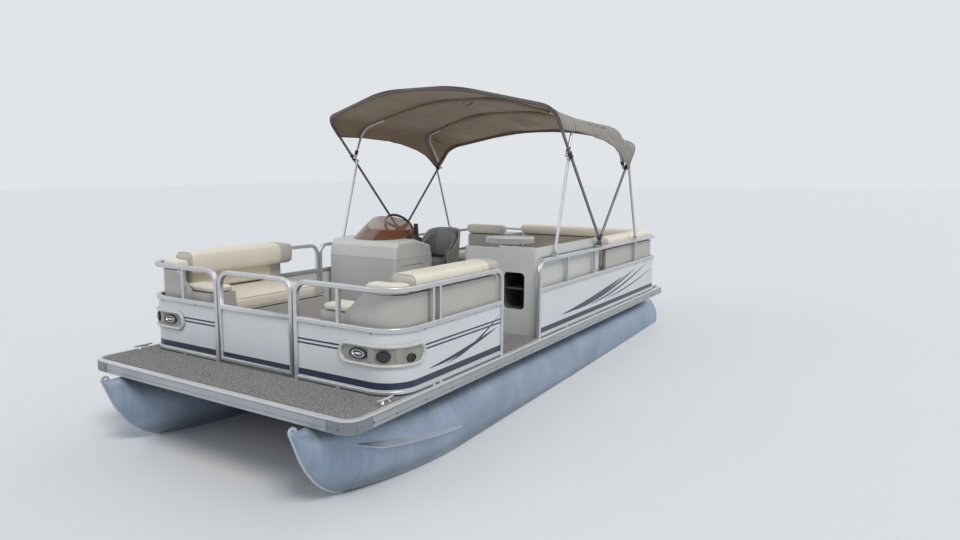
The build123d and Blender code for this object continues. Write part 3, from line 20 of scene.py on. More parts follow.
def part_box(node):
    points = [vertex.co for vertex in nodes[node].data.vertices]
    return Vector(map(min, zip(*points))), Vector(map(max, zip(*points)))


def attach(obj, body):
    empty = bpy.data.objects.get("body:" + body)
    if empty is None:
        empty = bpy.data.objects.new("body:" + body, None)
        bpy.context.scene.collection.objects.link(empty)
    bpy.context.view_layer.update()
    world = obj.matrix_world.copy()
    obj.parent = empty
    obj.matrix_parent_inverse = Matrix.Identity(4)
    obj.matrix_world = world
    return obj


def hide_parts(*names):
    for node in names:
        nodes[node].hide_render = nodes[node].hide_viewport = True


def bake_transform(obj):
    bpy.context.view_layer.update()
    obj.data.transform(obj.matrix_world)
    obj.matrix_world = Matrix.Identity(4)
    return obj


began = time.time()
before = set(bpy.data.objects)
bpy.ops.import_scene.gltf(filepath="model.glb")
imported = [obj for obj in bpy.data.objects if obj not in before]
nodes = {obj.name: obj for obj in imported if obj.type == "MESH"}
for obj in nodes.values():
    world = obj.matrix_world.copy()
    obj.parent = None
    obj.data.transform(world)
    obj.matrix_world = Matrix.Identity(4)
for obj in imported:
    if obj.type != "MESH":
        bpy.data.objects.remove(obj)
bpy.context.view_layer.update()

# %% [markdown]
# A boat is measured from its bow and from its deck. `at` turns a station aft of the deck's
# front edge, a distance to port and a height over the carpet into a point of the scene, so that
# every later cell can speak as a boat builder does.

# %% Stations on the deck
BOW_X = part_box("edge_rail")[1].x
DECK_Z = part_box("edge_rail")[1].z
# the fence's outer faces: how far to each side, and how far aft in front and at the stern
FENCE_HALF, FENCE_FRONT, FENCE_STERN = 1.186, 0.430, 5.489
SIDES = ((1, "port"), (-1, "starboard"))


def at(aft, port, height):
    """A point from its distance aft of the bow edge, to port and over the deck, in metres."""
    return Vector((BOW_X - aft, port, DECK_Z + height))


print("bow edge at x", round(BOW_X, 3), "deck at z", round(DECK_Z, 3))

# %% [markdown]
# ## Finishes
#
# A finish is a small network of nodes. Written as Python expressions it reads like the idea
# behind it: `steps = (height > 0.03) * (height < 0.08)` is a painted band. `Signal` wraps one
# socket, and each operator adds the Math node that does its work.

# %% A socket that can be used in sums


def joined(operation):
    """A method that joins a signal with another one, or with a number, in a Math node."""
    return lambda signal, other: signal.math(operation, other)


class Signal:
    """The output of a node, with arithmetic."""

    def __init__(self, finish, socket):
        self.finish = finish
        self.socket = socket

    def math(self, operation, *others):
        return self.finish.node("ShaderNodeMath", {"operation": operation}, self, *others)

    __add__ = __radd__ = joined("ADD")
    __sub__ = joined("SUBTRACT")
    __mul__ = __rmul__ = joined("MULTIPLY")
    __truediv__ = joined("DIVIDE")
    __gt__ = joined("GREATER_THAN")
    __lt__ = joined("LESS_THAN")
    power = joined("POWER")

    def __rsub__(self, other):
        return self.finish.node("ShaderNodeMath", {"operation": "SUBTRACT"}, other, self)

    def __abs__(self):
        return self.math("ABSOLUTE")

    def sine(self):
        return self.math("SINE")

    def clamp(self):
        return self.finish.node("ShaderNodeClamp", {}, self, 0.0, 1.0)

    def between(self, low, high):
        """1 inside a range and 0 outside it."""
        return (self > low) * (self < high)

    def ramp(self, low, high):
        """Rises evenly from 0 at low to 1 at high."""
        return ((self - low) / (high - low)).clamp()


# %% [markdown]
# `Finish` is one material. Most finishes are made alike: noise gives a few slow and fast
# signals, `blend` mixes two tones by the first of them, `layers` lays further tones on top, and
# `coat` sets the colour, the roughness and the bump. Each finish is kept in a table by its name.

# %% A material that signals can drive
FINISHES = {}


class Finish:
    """A material on one Principled shader, and the one way to add nodes to it."""

    def __init__(self, name, **settings):
        self.material = FINISHES[name] = bpy.data.materials.new(name)
        self.material.use_nodes = True
        self.tree = self.material.node_tree
        self.shader = self.tree.nodes["Principled BSDF"]
        self.set(**settings)

    def set(self, **settings):
        """Sets or links sockets of the shader, with _ for a space in their names."""
        for name, value in settings.items():
            self.plug(self.shader.inputs[name.replace("_", " ")], value)

    def node(self, kind, settings, *inputs, out=0, **named):
        """A node of any kind: its settings first, then the values or links of its sockets."""
        node = self.tree.nodes.new(kind)
        for key, value in settings.items():
            setattr(node, key, value)
        for socket, value in list(enumerate(inputs)) + list(named.items()):
            self.plug(node.inputs[socket], value)
        return Signal(self, node.outputs[out])

    def plug(self, socket, value):
        if isinstance(value, Signal):
            self.tree.links.new(value.socket, socket)
        elif isinstance(value, (tuple, list)) and len(value) == 3 and len(socket.default_value) == 4:
            socket.default_value = (*value, 1)
        else:
            socket.default_value = value

    def spot(self, kind="Object"):
        """The place on the surface, or for the kind "Normal" the way it faces, as one vector."""
        return self.node("ShaderNodeTexCoord", {}, out=kind)

    def place(self, kind="Object"):
        """The same as x, y, z signals and then as one vector."""
        spot = self.spot(kind)
        split = self.tree.nodes.new("ShaderNodeSeparateXYZ")
        self.tree.links.new(spot.socket, split.inputs[0])
        return [Signal(self, output) for output in split.outputs] + [spot]

    def noise(self, spot, scale, detail=3.0, rough=0.55):
        return self.node("ShaderNodeTexNoise", {}, Vector=spot, Scale=scale, Detail=detail, Roughness=rough)

    def streaks(self, spot, axes, detail=3.0, rough=0.55):
        """Noise with its own scale along each axis."""
        spot = self.node("ShaderNodeVectorMath", {"operation": "MULTIPLY"}, spot, axes)
        return self.noise(spot, 1.0, detail, rough)

    def cells(self, spot, scale, feature):
        return self.node("ShaderNodeTexVoronoi", {"feature": feature}, Vector=spot, Scale=scale)

    def blend(self, share, first, second):
        """A colour between two, by a share."""
        return self.node("ShaderNodeMix", {"data_type": "RGBA"}, out=2, Factor=share, A=first, B=second)

    def layers(self, colour, *tones):
        """A colour with other tones laid over it, each as (share, tone)."""
        for share, tone in tones:
            colour = self.blend(share, colour, tone)
        return colour

    def bump(self, height, depth, strength=1.0, under=None):
        """Raises the surface by a height signal times a depth in metres."""
        extra = {} if under is None else {"Normal": under}
        return self.node("ShaderNodeBump", {}, Strength=strength, Distance=depth, Height=height, **extra)

    def coat(self, colour, roughness, *bump, **more):
        """Sets the colour, the roughness and the bump, given as height, depth, strength."""
        self.set(Base_Color=colour, Roughness=roughness, Normal=self.bump(*bump), **more)


# %% [markdown]
# The tubes are sheet aluminium rolled into drums and welded end to end. Years afloat leave them
# dull, with streaks that run down and a duller belt at the height they float at. Their bluish tone
# is partly oxide and partly a painted reflection of the sky. Stretched noise gives the streaks,
# and each weld is a thin raised ring.

# %% Oxidised tube aluminium
FLOAT_Z = 0.150  # over the keels, amidships
WELDS = (1.14, 2.36, 3.58, 4.80)


def tube_aluminium():
    finish = Finish("tube_aluminium", Metallic=0.55)
    x, _, z, spot = finish.place()
    streaks = finish.streaks(spot, (34, 2.5, 2.5), 6, 0.62)
    fine = finish.streaks(spot, (260, 9, 9))
    clouds = finish.noise(spot, 2.6, 4)
    shade = ((streaks * 0.32 + clouds * 0.68 - 0.33) * 2.2).clamp()
    belt = (1 - abs(z - (FLOAT_Z + 0.03)) / 0.07).clamp() * (0.35 + streaks * 0.5)
    weld = 0
    for station in WELDS:
        weld = weld + (1 - abs(x - (BOW_X - station)) / 0.006).clamp()
    ripples = (z * 900).sine() * 0.2 + 0.8
    # the blue of both tones is partly oxide and partly a painted reflection of the sky
    colour = finish.layers(finish.blend(shade, (0.225, 0.290, 0.380), (0.425, 0.505, 0.615)),
                           (belt * 0.75, (0.175, 0.185, 0.165)), (weld * 0.45, (0.52, 0.56, 0.62)))
    finish.coat(colour, 0.30 + streaks * 0.22 + belt * 0.12,
                fine * 0.10 + weld * ripples + clouds * 0.5, 0.0016, 0.7)


# %% [markdown]
# The fence and the canopy frame are square and round aluminium tube, bright and satin. Fine
# lines run along the metal from drawing it through a die. Noise that is stretched along only one
# direction can't follow rails that run three ways, so the lines are a very fine, even grain and
# the wear is a slow cloudiness in the roughness.

# %% Satin aluminium


def satin_aluminium(name, dark, light, roughness, metallic=0.82):
    finish = Finish(name, Metallic=metallic)
    spot = finish.spot()
    clouds = finish.noise(spot, 7.0, 5)
    fine = finish.noise(spot, 260, 2)
    specks = (finish.noise(spot, 90, 2) - 0.70).clamp() * 3
    colour = finish.layers(finish.blend(clouds, dark, light), ((specks * 0.6).clamp(), (0.34, 0.34, 0.33)))
    finish.coat(colour, (roughness - 0.10) + clouds * 0.2 + specks * 0.2, fine, 0.0002, 0.35)


# %% [markdown]
# The deck's edge is an extrusion with a lip on top and two grooves along its face. The lip is
# painted near white, a painted highlight on the top, and the grooves are painted dark lines at fixed
# heights, painted shade, with a dip in the bump. Black rubber rubs have left marks between them.

# %% Edge extrusion


def edge_aluminium():
    finish = Finish("edge_aluminium", Metallic=0.75)
    _, _, z, spot = finish.place()
    down = DECK_Z - z
    clouds = finish.noise(spot, 5.0, 5)
    scrapes = finish.streaks(spot, (3, 3, 90), 6, 0.65)
    # painted highlight: the top 12 mm are painted near white; painted shade: the two grooves are painted dark
    lit_lip = down < 0.012
    shaded_grooves = down.between(0.019, 0.023) + down.between(0.058, 0.062)
    rubs = ((scrapes - 0.56) * 5).clamp() * down.between(0.023, 0.058)
    colour = finish.layers(finish.blend(clouds, (0.345, 0.365, 0.380), (0.480, 0.500, 0.515)),
                           (rubs * 0.45, (0.20, 0.20, 0.19)), (shaded_grooves * 0.55, (0.100, 0.105, 0.110)),
                           (lit_lip * 0.75, (0.80, 0.80, 0.79)))
    finish.coat(colour, 0.34 + scrapes * 0.2, scrapes * 0.3 - shaded_grooves, 0.0008, 0.6)


# %% [markdown]
# The deck is carpeted. Close up the pile is a bed of short tufts in four tones, so a fine cell
# pattern gives the tufts and a speckle, and broad noise gives the worn places.

# %% Carpet
PILE = ((0.36, (0.060, 0.058, 0.060)), (0.47, (0.165, 0.158, 0.158)),
        (0.56, (0.310, 0.298, 0.292)), (0.66, (0.640, 0.615, 0.590)))


def deck_carpet():
    finish = Finish("deck_carpet", Specular_IOR_Level=0.15)
    spot = finish.spot()
    tufts = finish.cells(spot, 210.0, "F1")
    speckle = finish.noise(spot, 120, 6, 0.75)
    worn = finish.noise(spot, 1.7, 4)
    pile = finish.node("ShaderNodeValToRGB", {}, speckle)
    stops = pile.socket.node.color_ramp.elements
    stops.remove(stops[-1])
    stops[0].position = PILE[0][0]
    for place, _ in PILE[1:]:
        stops.new(place)
    for stop, (_, tone) in zip(stops, PILE):
        stop.color = (*tone, 1)
    colour = finish.layers(pile, ((worn * 0.35).clamp(), (0.270, 0.258, 0.250)))
    finish.coat(colour, 0.93 - speckle * 0.08, speckle - tufts * 0.8, 0.0022, 0.9)


# %% [markdown]
# The fence panels are painted sheet. The lines on them are tape, in two blues: a belt along the
# bottom, two pin lines above it, and on the sides a fan of long tapered stripes. Each is a range
# of heights in the shader, so its edge stays sharp at any distance. Only the faces that look out
# from the boat's middle are taped.

# %% Painted panels with tape lines
NAVY, STEEL_BLUE = (0.010, 0.017, 0.044), (0.020, 0.034, 0.078)
# each stripe: where it starts and ends, its height at the start, its rise, its half width
STRIPES = ((0.75, 1.62, 0.115, 0.11, 0.013), (0.95, 1.64, 0.105, 0.20, 0.009),
           (2.75, 4.35, 0.125, 0.16, 0.020), (3.05, 4.75, 0.120, 0.21, 0.015),
           (3.40, 5.15, 0.115, 0.235, 0.011), (3.80, 5.35, 0.112, 0.155, 0.008))


def panel_paint():
    finish = Finish("panel_paint", Coat_Roughness=0.12, Coat_Weight=0.25)
    x, y, z, spot = finish.place()
    ahead, across, _, _ = finish.place("Normal")
    height, aft = z - DECK_Z, BOW_X - x
    clouds = finish.noise(spot, 1.8, 3)
    runs = finish.streaks(spot, (30, 30, 1.2), 4)
    grime = (1 - (height - 0.03) / 0.16).clamp() * runs
    belt = height.between(0.037, 0.080)
    beside_gate = ((abs(y) > 0.37) + (aft > 0.5)).clamp() * (aft < 1.72)
    pins = (height.between(0.243, 0.255) + height.between(0.268, 0.280)) * beside_gate
    fan = 0
    for start, end, foot, rise, wide in STRIPES:
        travel = aft.ramp(start, end)
        line = foot + rise * travel.power(1.7)
        half = wide * (travel * (1 - travel) * 4).power(0.8)
        fan = fan + (abs(height - line) < half) * aft.between(start, end)
    on_side, outer = abs(y) > 1.17, (ahead * x + across * y) > 0.0
    tape = (belt + pins + fan * on_side).clamp() * outer
    colour = finish.layers(finish.blend(clouds, (0.570, 0.590, 0.605), (0.650, 0.668, 0.680)),
                           (grime * 0.30, (0.43, 0.41, 0.36)),
                           (tape, finish.blend(clouds * 0.5, NAVY, STEEL_BLUE)))
    finish.coat(colour, 0.30 + clouds * 0.12 + grime * 0.25, runs * 0.3 + tape * 0.6, 0.0004, 0.5)


# %% [markdown]
# Moulded parts, such as the seat shells, the helm and the lamp plates, come out of a tool with a
# leather-like grain. One recipe serves them all: a cell pattern for the grain, slow noise for
# sun-bleached places, and a little dirt that settles low down.

# %% Moulded plastic
DIRT = (0.24, 0.21, 0.17)


def moulding(finish, spot, z):
    """What every moulding is made of: its grain, its clouds and the dirt low down."""
    runs = finish.streaks(spot, (22, 22, 2), 4)
    low = (1 - (z - DECK_Z) / 0.35).clamp() * runs
    return finish.cells(spot, 300.0, "SMOOTH_F1"), finish.noise(spot, 2.3, 4), low


def moulded(name, dark, light, roughness=0.48, dirt=0.25):
    finish = Finish(name)
    _, _, z, spot = finish.place()
    pebble, clouds, low = moulding(finish, spot, z)
    colour = finish.layers(finish.blend(clouds, dark, light), (low * dirt, DIRT))
    finish.coat(colour, (roughness - 0.06) + clouds * 0.14, pebble, 0.0006, 0.30)


# %% [markdown]
# The helm and the galley use the same recipe in a lighter tone, with a paler top over a dark seam
# on the helm. In the galley's open cubby the shade is painted: dark, deepest under the cubby's top
# and lighter towards its floor, and a box of positions inside the moulding tells the shader where
# that is.

# %% Helm and galley


def helm_moulding():
    finish = Finish("helm_moulding")
    x, y, z, spot = finish.place()
    aft, height = BOW_X - x, z - DECK_Z
    pebble, clouds, low = moulding(finish, spot, z)
    on_helm = y < -0.3
    upper, seam = height.ramp(0.536, 0.545) * on_helm, height.between(0.5335, 0.5375) * on_helm
    cubby = aft.between(2.352, 2.70) * y.between(0.83, 1.04) * height.between(0.205, 0.532)
    # painted shade inside the open cubby: darkest under its top, lighter towards its floor
    cubby_shade = finish.blend(height.ramp(0.24, 0.50), (0.120, 0.112, 0.104), (0.034, 0.033, 0.034))
    colour = finish.layers(finish.blend(clouds, (0.505, 0.510, 0.485), (0.605, 0.610, 0.580)),
                           (upper * 0.30, (0.700, 0.700, 0.670)), (seam * 0.45, (0.20, 0.195, 0.180)),
                           (low * 0.35, DIRT), (cubby, cubby_shade))
    finish.coat(colour, 0.38 + clouds * 0.14, pebble - seam * 3, 0.0006, 0.30)


# %% [markdown]
# Marine vinyl has the creases of leather, finer and shallower, with a soft shine. A cell pattern
# gives the creases, stretched noise the slack of the cover, and slow noise a few yellowed places.

# %% Vinyl


def vinyl(name, dark, light, roughness=0.42):
    finish = Finish(name, Sheen_Weight=0.15, Sheen_Roughness=0.5)
    spot = finish.spot()
    creases = finish.bump(finish.cells(spot, 420.0, "DISTANCE_TO_EDGE"), 0.0004, 0.35)
    clouds = finish.noise(spot, 3.1, 5)
    wrinkles = finish.streaks(spot, (10, 14, 10))
    stains = (finish.noise(spot, 6.0, 6, 0.65) - 0.56).clamp() * 2.2
    colour = finish.layers(finish.blend(clouds, dark, light), (stains * 0.35, (0.56, 0.49, 0.37)))
    finish.coat(colour, (roughness - 0.05) + clouds * 0.12, wrinkles, 0.006, 0.35, creases)


# %% [markdown]
# The canopy cloth is a woven acrylic. The weave is two sets of yarns at right angles, and it runs
# with the cloth, so its pattern follows the long and the cross direction of the boat. Dust lies
# on it in slow clouds. Its proofed underside is browner, with streaks across the boat's length.

# %% Woven canvas


def weave(x, y, density):
    """Two sets of yarns at right angles."""
    return abs((x * density).sine()) * 0.5 + abs((y * density).sine()) * 0.5


def canvas(name, dark, light):
    finish = Finish(name, Sheen_Weight=0.25, Sheen_Roughness=0.6)
    x, y, _, spot = finish.place()
    clouds = finish.noise(spot, 2.0, 4)
    dust = finish.streaks(spot, (3, 12, 3), 5)
    flecks = finish.noise(spot, 700, 2)
    colour = finish.layers(finish.blend(clouds * 0.6 + dust * 0.4, dark, light),
                           (flecks * 0.25, (0.42, 0.39, 0.36)))
    finish.coat(colour, 0.80 + flecks * 0.15, weave(x, y, 2600) + dust * 2.0, 0.0012, 0.45)


def canopy_underside():
    finish = Finish("canopy_underside", Sheen_Weight=0.1)
    x, y, _, spot = finish.place()
    clouds = finish.noise(spot, 3.0, 5)
    streaks = finish.streaks(spot, (2, 16, 16), 5, 0.6)
    share = (clouds * 0.5 + streaks * 0.5 - 0.25) * 2
    finish.coat(finish.blend(share, (0.250, 0.178, 0.120), (0.420, 0.312, 0.218)), 0.74 + streaks * 0.2,
                weave(x, y, 2100) + streaks * 4, 0.0012, 0.4)


# %% [markdown]
# The rest are single-purpose: smoked acrylic for the windscreen, clear lamp lenses, the speckled
# worktop, the white table, black trim, and the outboard's deep metallic paint.

# %% The other finishes


def windscreen_acrylic():
    finish = Finish("tinted_acrylic", IOR=1.49, Coat_Roughness=0.05, Coat_Weight=0.5)
    _, _, z, spot = finish.place()
    haze = finish.noise(spot, 9, 4)
    solid = 1 - (z - DECK_Z).ramp(0.785, 0.800)
    tint = finish.blend(haze, (0.120, 0.046, 0.022), (0.200, 0.084, 0.044))
    colour = finish.blend(solid, finish.blend(haze, (0.22, 0.13, 0.09), (0.34, 0.22, 0.16)), tint)
    finish.coat(colour, 0.05 + haze * 0.08, haze, 0.0008, 0.15, Alpha=0.50 + solid * 0.50 + haze * 0.1)


def speckled(name, ground, fleck, roughness, density=120):
    finish = Finish(name, Coat_Roughness=0.1, Coat_Weight=0.3)
    spot = finish.spot()
    grains = finish.noise(spot, density, 4, 0.75)
    scuffs = finish.streaks(spot, (9, 60, 9), 5)
    colour = finish.blend(((grains - 0.50) * 4).clamp(), ground, fleck)
    finish.coat(colour, (roughness - 0.05) + scuffs * 0.14, scuffs, 0.0002, 0.3)


def motor_paint():
    finish = Finish("motor_paint", Metallic=0.3, Coat_Roughness=0.08, Coat_Weight=0.6)
    _, _, z, spot = finish.place()
    clouds = finish.noise(spot, 4.0, 4)
    flakes = finish.noise(spot, 900, 2)
    scum = (0.16 - abs(z - 0.55)).clamp() * clouds * 1.8
    colour = finish.layers(finish.blend(flakes, (0.016, 0.018, 0.022), (0.055, 0.060, 0.070)),
                           (scum, (0.22, 0.22, 0.19)))
    finish.coat(colour, 0.24 + clouds * 0.16 + scum, clouds, 0.001, 0.2)


def plywood():
    finish = Finish("deck_wood", Specular_IOR_Level=0.3)
    _, _, z, spot = finish.place()
    plies = abs((z * 1400).sine())
    grain = finish.streaks(spot, (4, 60, 60), 5)
    colour = finish.layers(finish.blend(grain, (0.100, 0.070, 0.048), (0.210, 0.155, 0.105)),
                           (plies * 0.35, (0.060, 0.042, 0.030)))
    finish.coat(colour, 0.75 + grain * 0.15, grain, 0.001, 0.4)


for paint in (tube_aluminium, edge_aluminium, deck_carpet, panel_paint, helm_moulding,
              windscreen_acrylic, motor_paint, plywood, canopy_underside):
    paint()
satin_aluminium("bow_aluminium", (0.150, 0.155, 0.165), (0.265, 0.270, 0.285), 0.36)
satin_aluminium("rail_aluminium", (0.50, 0.51, 0.52), (0.66, 0.67, 0.68), 0.34)
satin_aluminium("propeller_metal", (0.50, 0.50, 0.49), (0.66, 0.66, 0.65), 0.30)
satin_aluminium("chrome", (0.62, 0.63, 0.64), (0.80, 0.81, 0.82), 0.20)
satin_aluminium("dark_steel", (0.10, 0.10, 0.105), (0.17, 0.17, 0.175), 0.36)
satin_aluminium("tube_trim", (0.36, 0.41, 0.47), (0.52, 0.57, 0.63), 0.42, metallic=0.25)
moulded("grey_moulding", (0.150, 0.165, 0.185), (0.225, 0.240, 0.262), 0.40, dirt=0.0)
moulded("seat_moulding", (0.395, 0.380, 0.350), (0.495, 0.478, 0.445), 0.46)
moulded("black_plastic", (0.014, 0.014, 0.015), (0.034, 0.034, 0.036), 0.42, dirt=0.0)
moulded("lamp_plate", (0.470, 0.475, 0.455), (0.560, 0.565, 0.540), 0.34, dirt=0.1)
# the lamp plates' sunken floor is a darker tone than the rim: painted shade in the recess
moulded("lamp_recess_shade", (0.250, 0.240, 0.215), (0.345, 0.335, 0.300), 0.42, dirt=0.3)
vinyl("cream_vinyl", (0.690, 0.635, 0.520), (0.790, 0.740, 0.630))
vinyl("beige_vinyl", (0.430, 0.405, 0.350), (0.520, 0.490, 0.430), 0.45)
vinyl("taupe_vinyl", (0.215, 0.200, 0.202), (0.290, 0.272, 0.270), 0.48)
vinyl("piping", (0.560, 0.515, 0.425), (0.640, 0.590, 0.490), 0.40)
# tread_vinyl's cream is the colour of sunlit carpet, painted sunlight; the bow treads wear the carpet finish
# instead
speckled("tread_vinyl", (0.740, 0.650, 0.500), (0.560, 0.485, 0.370), 0.62, 40)
speckled("lamp_lens", (0.30, 0.31, 0.32), (0.62, 0.63, 0.64), 0.14, 60)
speckled("countertop", (0.560, 0.540, 0.490), (0.420, 0.395, 0.350), 0.30)
speckled("table_white", (0.740, 0.740, 0.720), (0.660, 0.660, 0.640), 0.28)
speckled("dark_glass", (0.010, 0.010, 0.012), (0.030, 0.030, 0.034), 0.12, 50)
canvas("canvas_taupe", (0.170, 0.150, 0.128), (0.262, 0.232, 0.200))
canvas("binding", (0.050, 0.038, 0.030), (0.085, 0.066, 0.054))
# nodes that wear another finish than their slot names
OTHER_FINISH = {"bimini_front_bow": "bow_aluminium", "bimini_rear_bow": "bow_aluminium",
                "bow_treads": "deck_carpet"}
for name, node in nodes.items():
    for place in node.material_slots:
        place.material = FINISHES[OTHER_FINISH.get(name, place.material.name.split(".")[0])]
print("finishes:", len(FINISHES))

# %% [markdown]
# ## Upholstery
#
# A boat cushion is vinyl sewn over a block of foam. The cover is cut a little small, so the foam
# presses it out: the faces crown, and the sides pull in between the corners, which the seams
# hold. A cloth simulation with air pressure does the same thing to a mesh. Each cushion starts as
# its own block, slightly shrunk, is given an even net of faces, is blown up for a few frames
# with its sharp edges held back, and is then frozen.

# %% New objects


def placed(name, data):
    """A new object in the scene."""
    thing = bpy.data.objects.new(name, data)
    bpy.context.collection.objects.link(thing)
    return thing


def new_piece(name, mesh, body, finish=None):
    """An object that rides on a body of the boat."""
    piece = placed(name, mesh)
    if body:
        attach(piece, body)
    if finish:
        mesh.materials.append(FINISHES[finish])
    return piece


def to_mesh(name, work, sharp=None, turn=True, smooth=True):
    """Ends a bmesh as a mesh: faces turned outward and smooth, with creases over `sharp` degrees."""
    if turn:
        bmesh.ops.recalc_face_normals(work, faces=work.faces)
    mesh = bpy.data.meshes.new(name)
    work.to_mesh(mesh)
    work.free()
    if smooth:
        mesh.shade_smooth()
    if sharp:
        mesh.set_sharp_from_angle(angle=math.radians(sharp))
    return mesh


def mesh_piece(name, work, body, finish, sharp=40):
    """A piece straight from a bmesh."""
    return new_piece(name, to_mesh(name, work, sharp), body, finish)


def bake_modifiers(piece):
    """Turns a piece with modifiers into its plain result."""
    graph = bpy.context.evaluated_depsgraph_get()
    result = bpy.data.meshes.new_from_object(piece.evaluated_get(graph))
    piece.modifiers.clear()
    old = piece.data
    piece.data = result
    bpy.data.meshes.remove(old)
    return result


def work_of(node_name, merge=0.0001):
    """A node's mesh as a bmesh, with the points merged that lie within a distance."""
    work = bmesh.new()
    work.from_mesh(nodes[node_name].data)
    if merge:
        bmesh.ops.remove_doubles(work, verts=work.verts, dist=merge)
    return work


def modify(piece, name, kind, **settings):
    """Adds a modifier with its settings."""
    modifier = piece.modifiers.new(name, kind)
    for key, value in settings.items():
        setattr(modifier, key, value)


# %% [markdown]
# Straps, cords, bars and skins are all rows of points with faces between them. `bridge` joins
# such rings and closes the ends, `circle` gives a round ring, and `heading` says which way a
# route runs, so that its rings can stand across it.

# %% Rings of points


def heading(route, index):
    """The way that a route runs at one of its points."""
    return route[min(index + 1, len(route) - 1)] - route[max(index - 1, 0)]


def circle(across, over, radius, sides):
    """Offsets round a circle in the plane of two unit vectors."""
    turns = [2 * math.pi * side / sides for side in range(sides)]
    return [(across * math.cos(turn) + over * math.sin(turn)) * radius for turn in turns]


def square_to(ahead, guide, least=0.2):
    """Two vectors square to a direction, the first of them to a guide too if that runs another way."""
    across = ahead.cross(guide)
    if across.length < least:
        across = ahead.cross(Vector((1, 0, 0)))
    across.normalize()
    return across, across.cross(ahead)


def ring_of(work, points):
    return [work.verts.new(point) for point in points]


def bridge(work, rings, closed=False, caps=2):
    """Joins rings with faces, in a closed loop or with a cap on the first and the last one."""
    for one, two in zip(rings, rings[1:] + (rings[:1] if closed else [])):
        for a, b, c, d in zip(one, one[1:] + one[:1], two[1:] + two[:1], two):
            work.faces.new((a, b, c, d))
    if caps and not closed:
        work.faces.new(rings[0])
    if caps > 1 and not closed:
        work.faces.new(rings[-1][::-1])


# %% [markdown]
# The stuffing step works on any closed block. Points on the block's rounded edges bend sharply
# from face to face, so the angle between neighbouring normals says how firmly a point is held: the
# seams stay, and the flats between them rise. No point may move further than a cap, so
# neighbouring cushions stay apart.

# %% Stuff a cushion


def edge_hold(mesh):
    """How sharply the surface bends at each point, from 0 to 1, spread over two rings of faces."""
    normals = [vertex.normal.copy() for vertex in mesh.vertices]
    bend = [0.0] * len(normals)
    for edge in mesh.edges:
        a, b = edge.vertices
        turn = 1 - normals[a].dot(normals[b])
        bend[a] = max(bend[a], turn)
        bend[b] = max(bend[b], turn)
    for _ in range(2):
        spread = bend[:]
        for edge in mesh.edges:
            a, b = edge.vertices
            spread[a] = max(spread[a], bend[b] * 0.8)
            spread[b] = max(spread[b], bend[a] * 0.8)
        bend = spread
    return [min(1.0, value * 16) for value in bend]


def blow_up(piece, voxel, pressure=4.0, frames=12):
    """Lets the cover rise under air pressure, with its seams and its underside held."""
    hold = edge_hold(piece.data)
    held = piece.vertex_groups.new(name="seams")
    heights = [vertex.co.z for vertex in piece.data.vertices]
    lowest = min(heights)
    for index, height in enumerate(heights):
        rests = height < lowest + 0.6 * voxel
        held.add([index], 1.0 if rests or hold[index] > 0.85 else hold[index] * 0.5, "REPLACE")
    cloth = piece.modifiers.new("cover", "CLOTH")
    settings = cloth.settings
    settings.use_pressure, settings.uniform_pressure_force = True, pressure
    settings.vertex_group_mass, settings.mass, settings.quality = "seams", 0.4, 4
    settings.effector_weights.gravity = 0
    cloth.collision_settings.use_collision = False
    cloth.point_cache.frame_end = frames
    scene = bpy.context.scene
    for step in range(1, frames + 1):
        scene.frame_set(step)
    bake_modifiers(piece)
    scene.frame_set(1)


def stuff(name, node_name, voxel, shrink=0.006, cap=0.012, form=None, relax=3):
    """A padded copy of a soft node."""
    piece = new_piece(name, nodes[node_name].data.copy(), None)
    piece.data.materials.clear()
    work = work_of(node_name, 0.0002)
    work.normal_update()
    for vertex in work.verts:
        vertex.co -= vertex.normal * shrink
        if form:
            vertex.co = form(vertex.co)
    work.to_mesh(piece.data)
    work.free()
    modify(piece, "net", "REMESH", mode="VOXEL", voxel_size=voxel)
    mesh = bake_modifiers(piece)
    start = [vertex.co.copy() for vertex in mesh.vertices]
    blow_up(piece, voxel)
    for vertex, point in zip(piece.data.vertices, start):
        move = vertex.co - point
        if move.length > cap:
            vertex.co = point + move * (cap / move.length)
    modify(piece, "relax", "SMOOTH", factor=0.5, iterations=relax)
    modify(piece, "finer", "SUBSURF", levels=1)
    mesh = bake_modifiers(piece)
    mesh.shade_smooth()
    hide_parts(node_name)
    print(name, "points", len(mesh.vertices), "at", round(time.time() - began, 1), "s")
    return piece


# %% [markdown]
# Seams come after the stuffing, because an even net of faces would swallow them. A seam is a
# route laid on the cushion: the cover dips along it, and what is sewn there is added as its own
# small geometry, either a round piping cord or two rows of stitches.

# %% Routes on a cushion


def rounded_route(points, radius, closed=False, steps=7):
    """A polyline with its corners turned into arcs."""
    points = [Vector(point) for point in points]
    count = len(points)
    route = []
    for index, corner in enumerate(points):
        if not closed and index in (0, count - 1):
            route.append(corner)
            continue
        before = points[index - 1] - corner
        after = points[(index + 1) % count] - corner
        half = before.angle(after) / 2
        reach = min(radius / math.tan(half), before.length * 0.49, after.length * 0.49)
        first, last = corner + before.normalized() * reach, corner + after.normalized() * reach
        inward = (before.normalized() + after.normalized()).normalized()
        centre = corner + inward * (reach / math.cos(half))
        for step in range(steps + 1):
            spoke = (first - centre).slerp(last - centre, step / steps)
            route.append(centre + spoke.normalized() * (first - centre).length)
    if closed:
        route.append(route[0].copy())
    return route


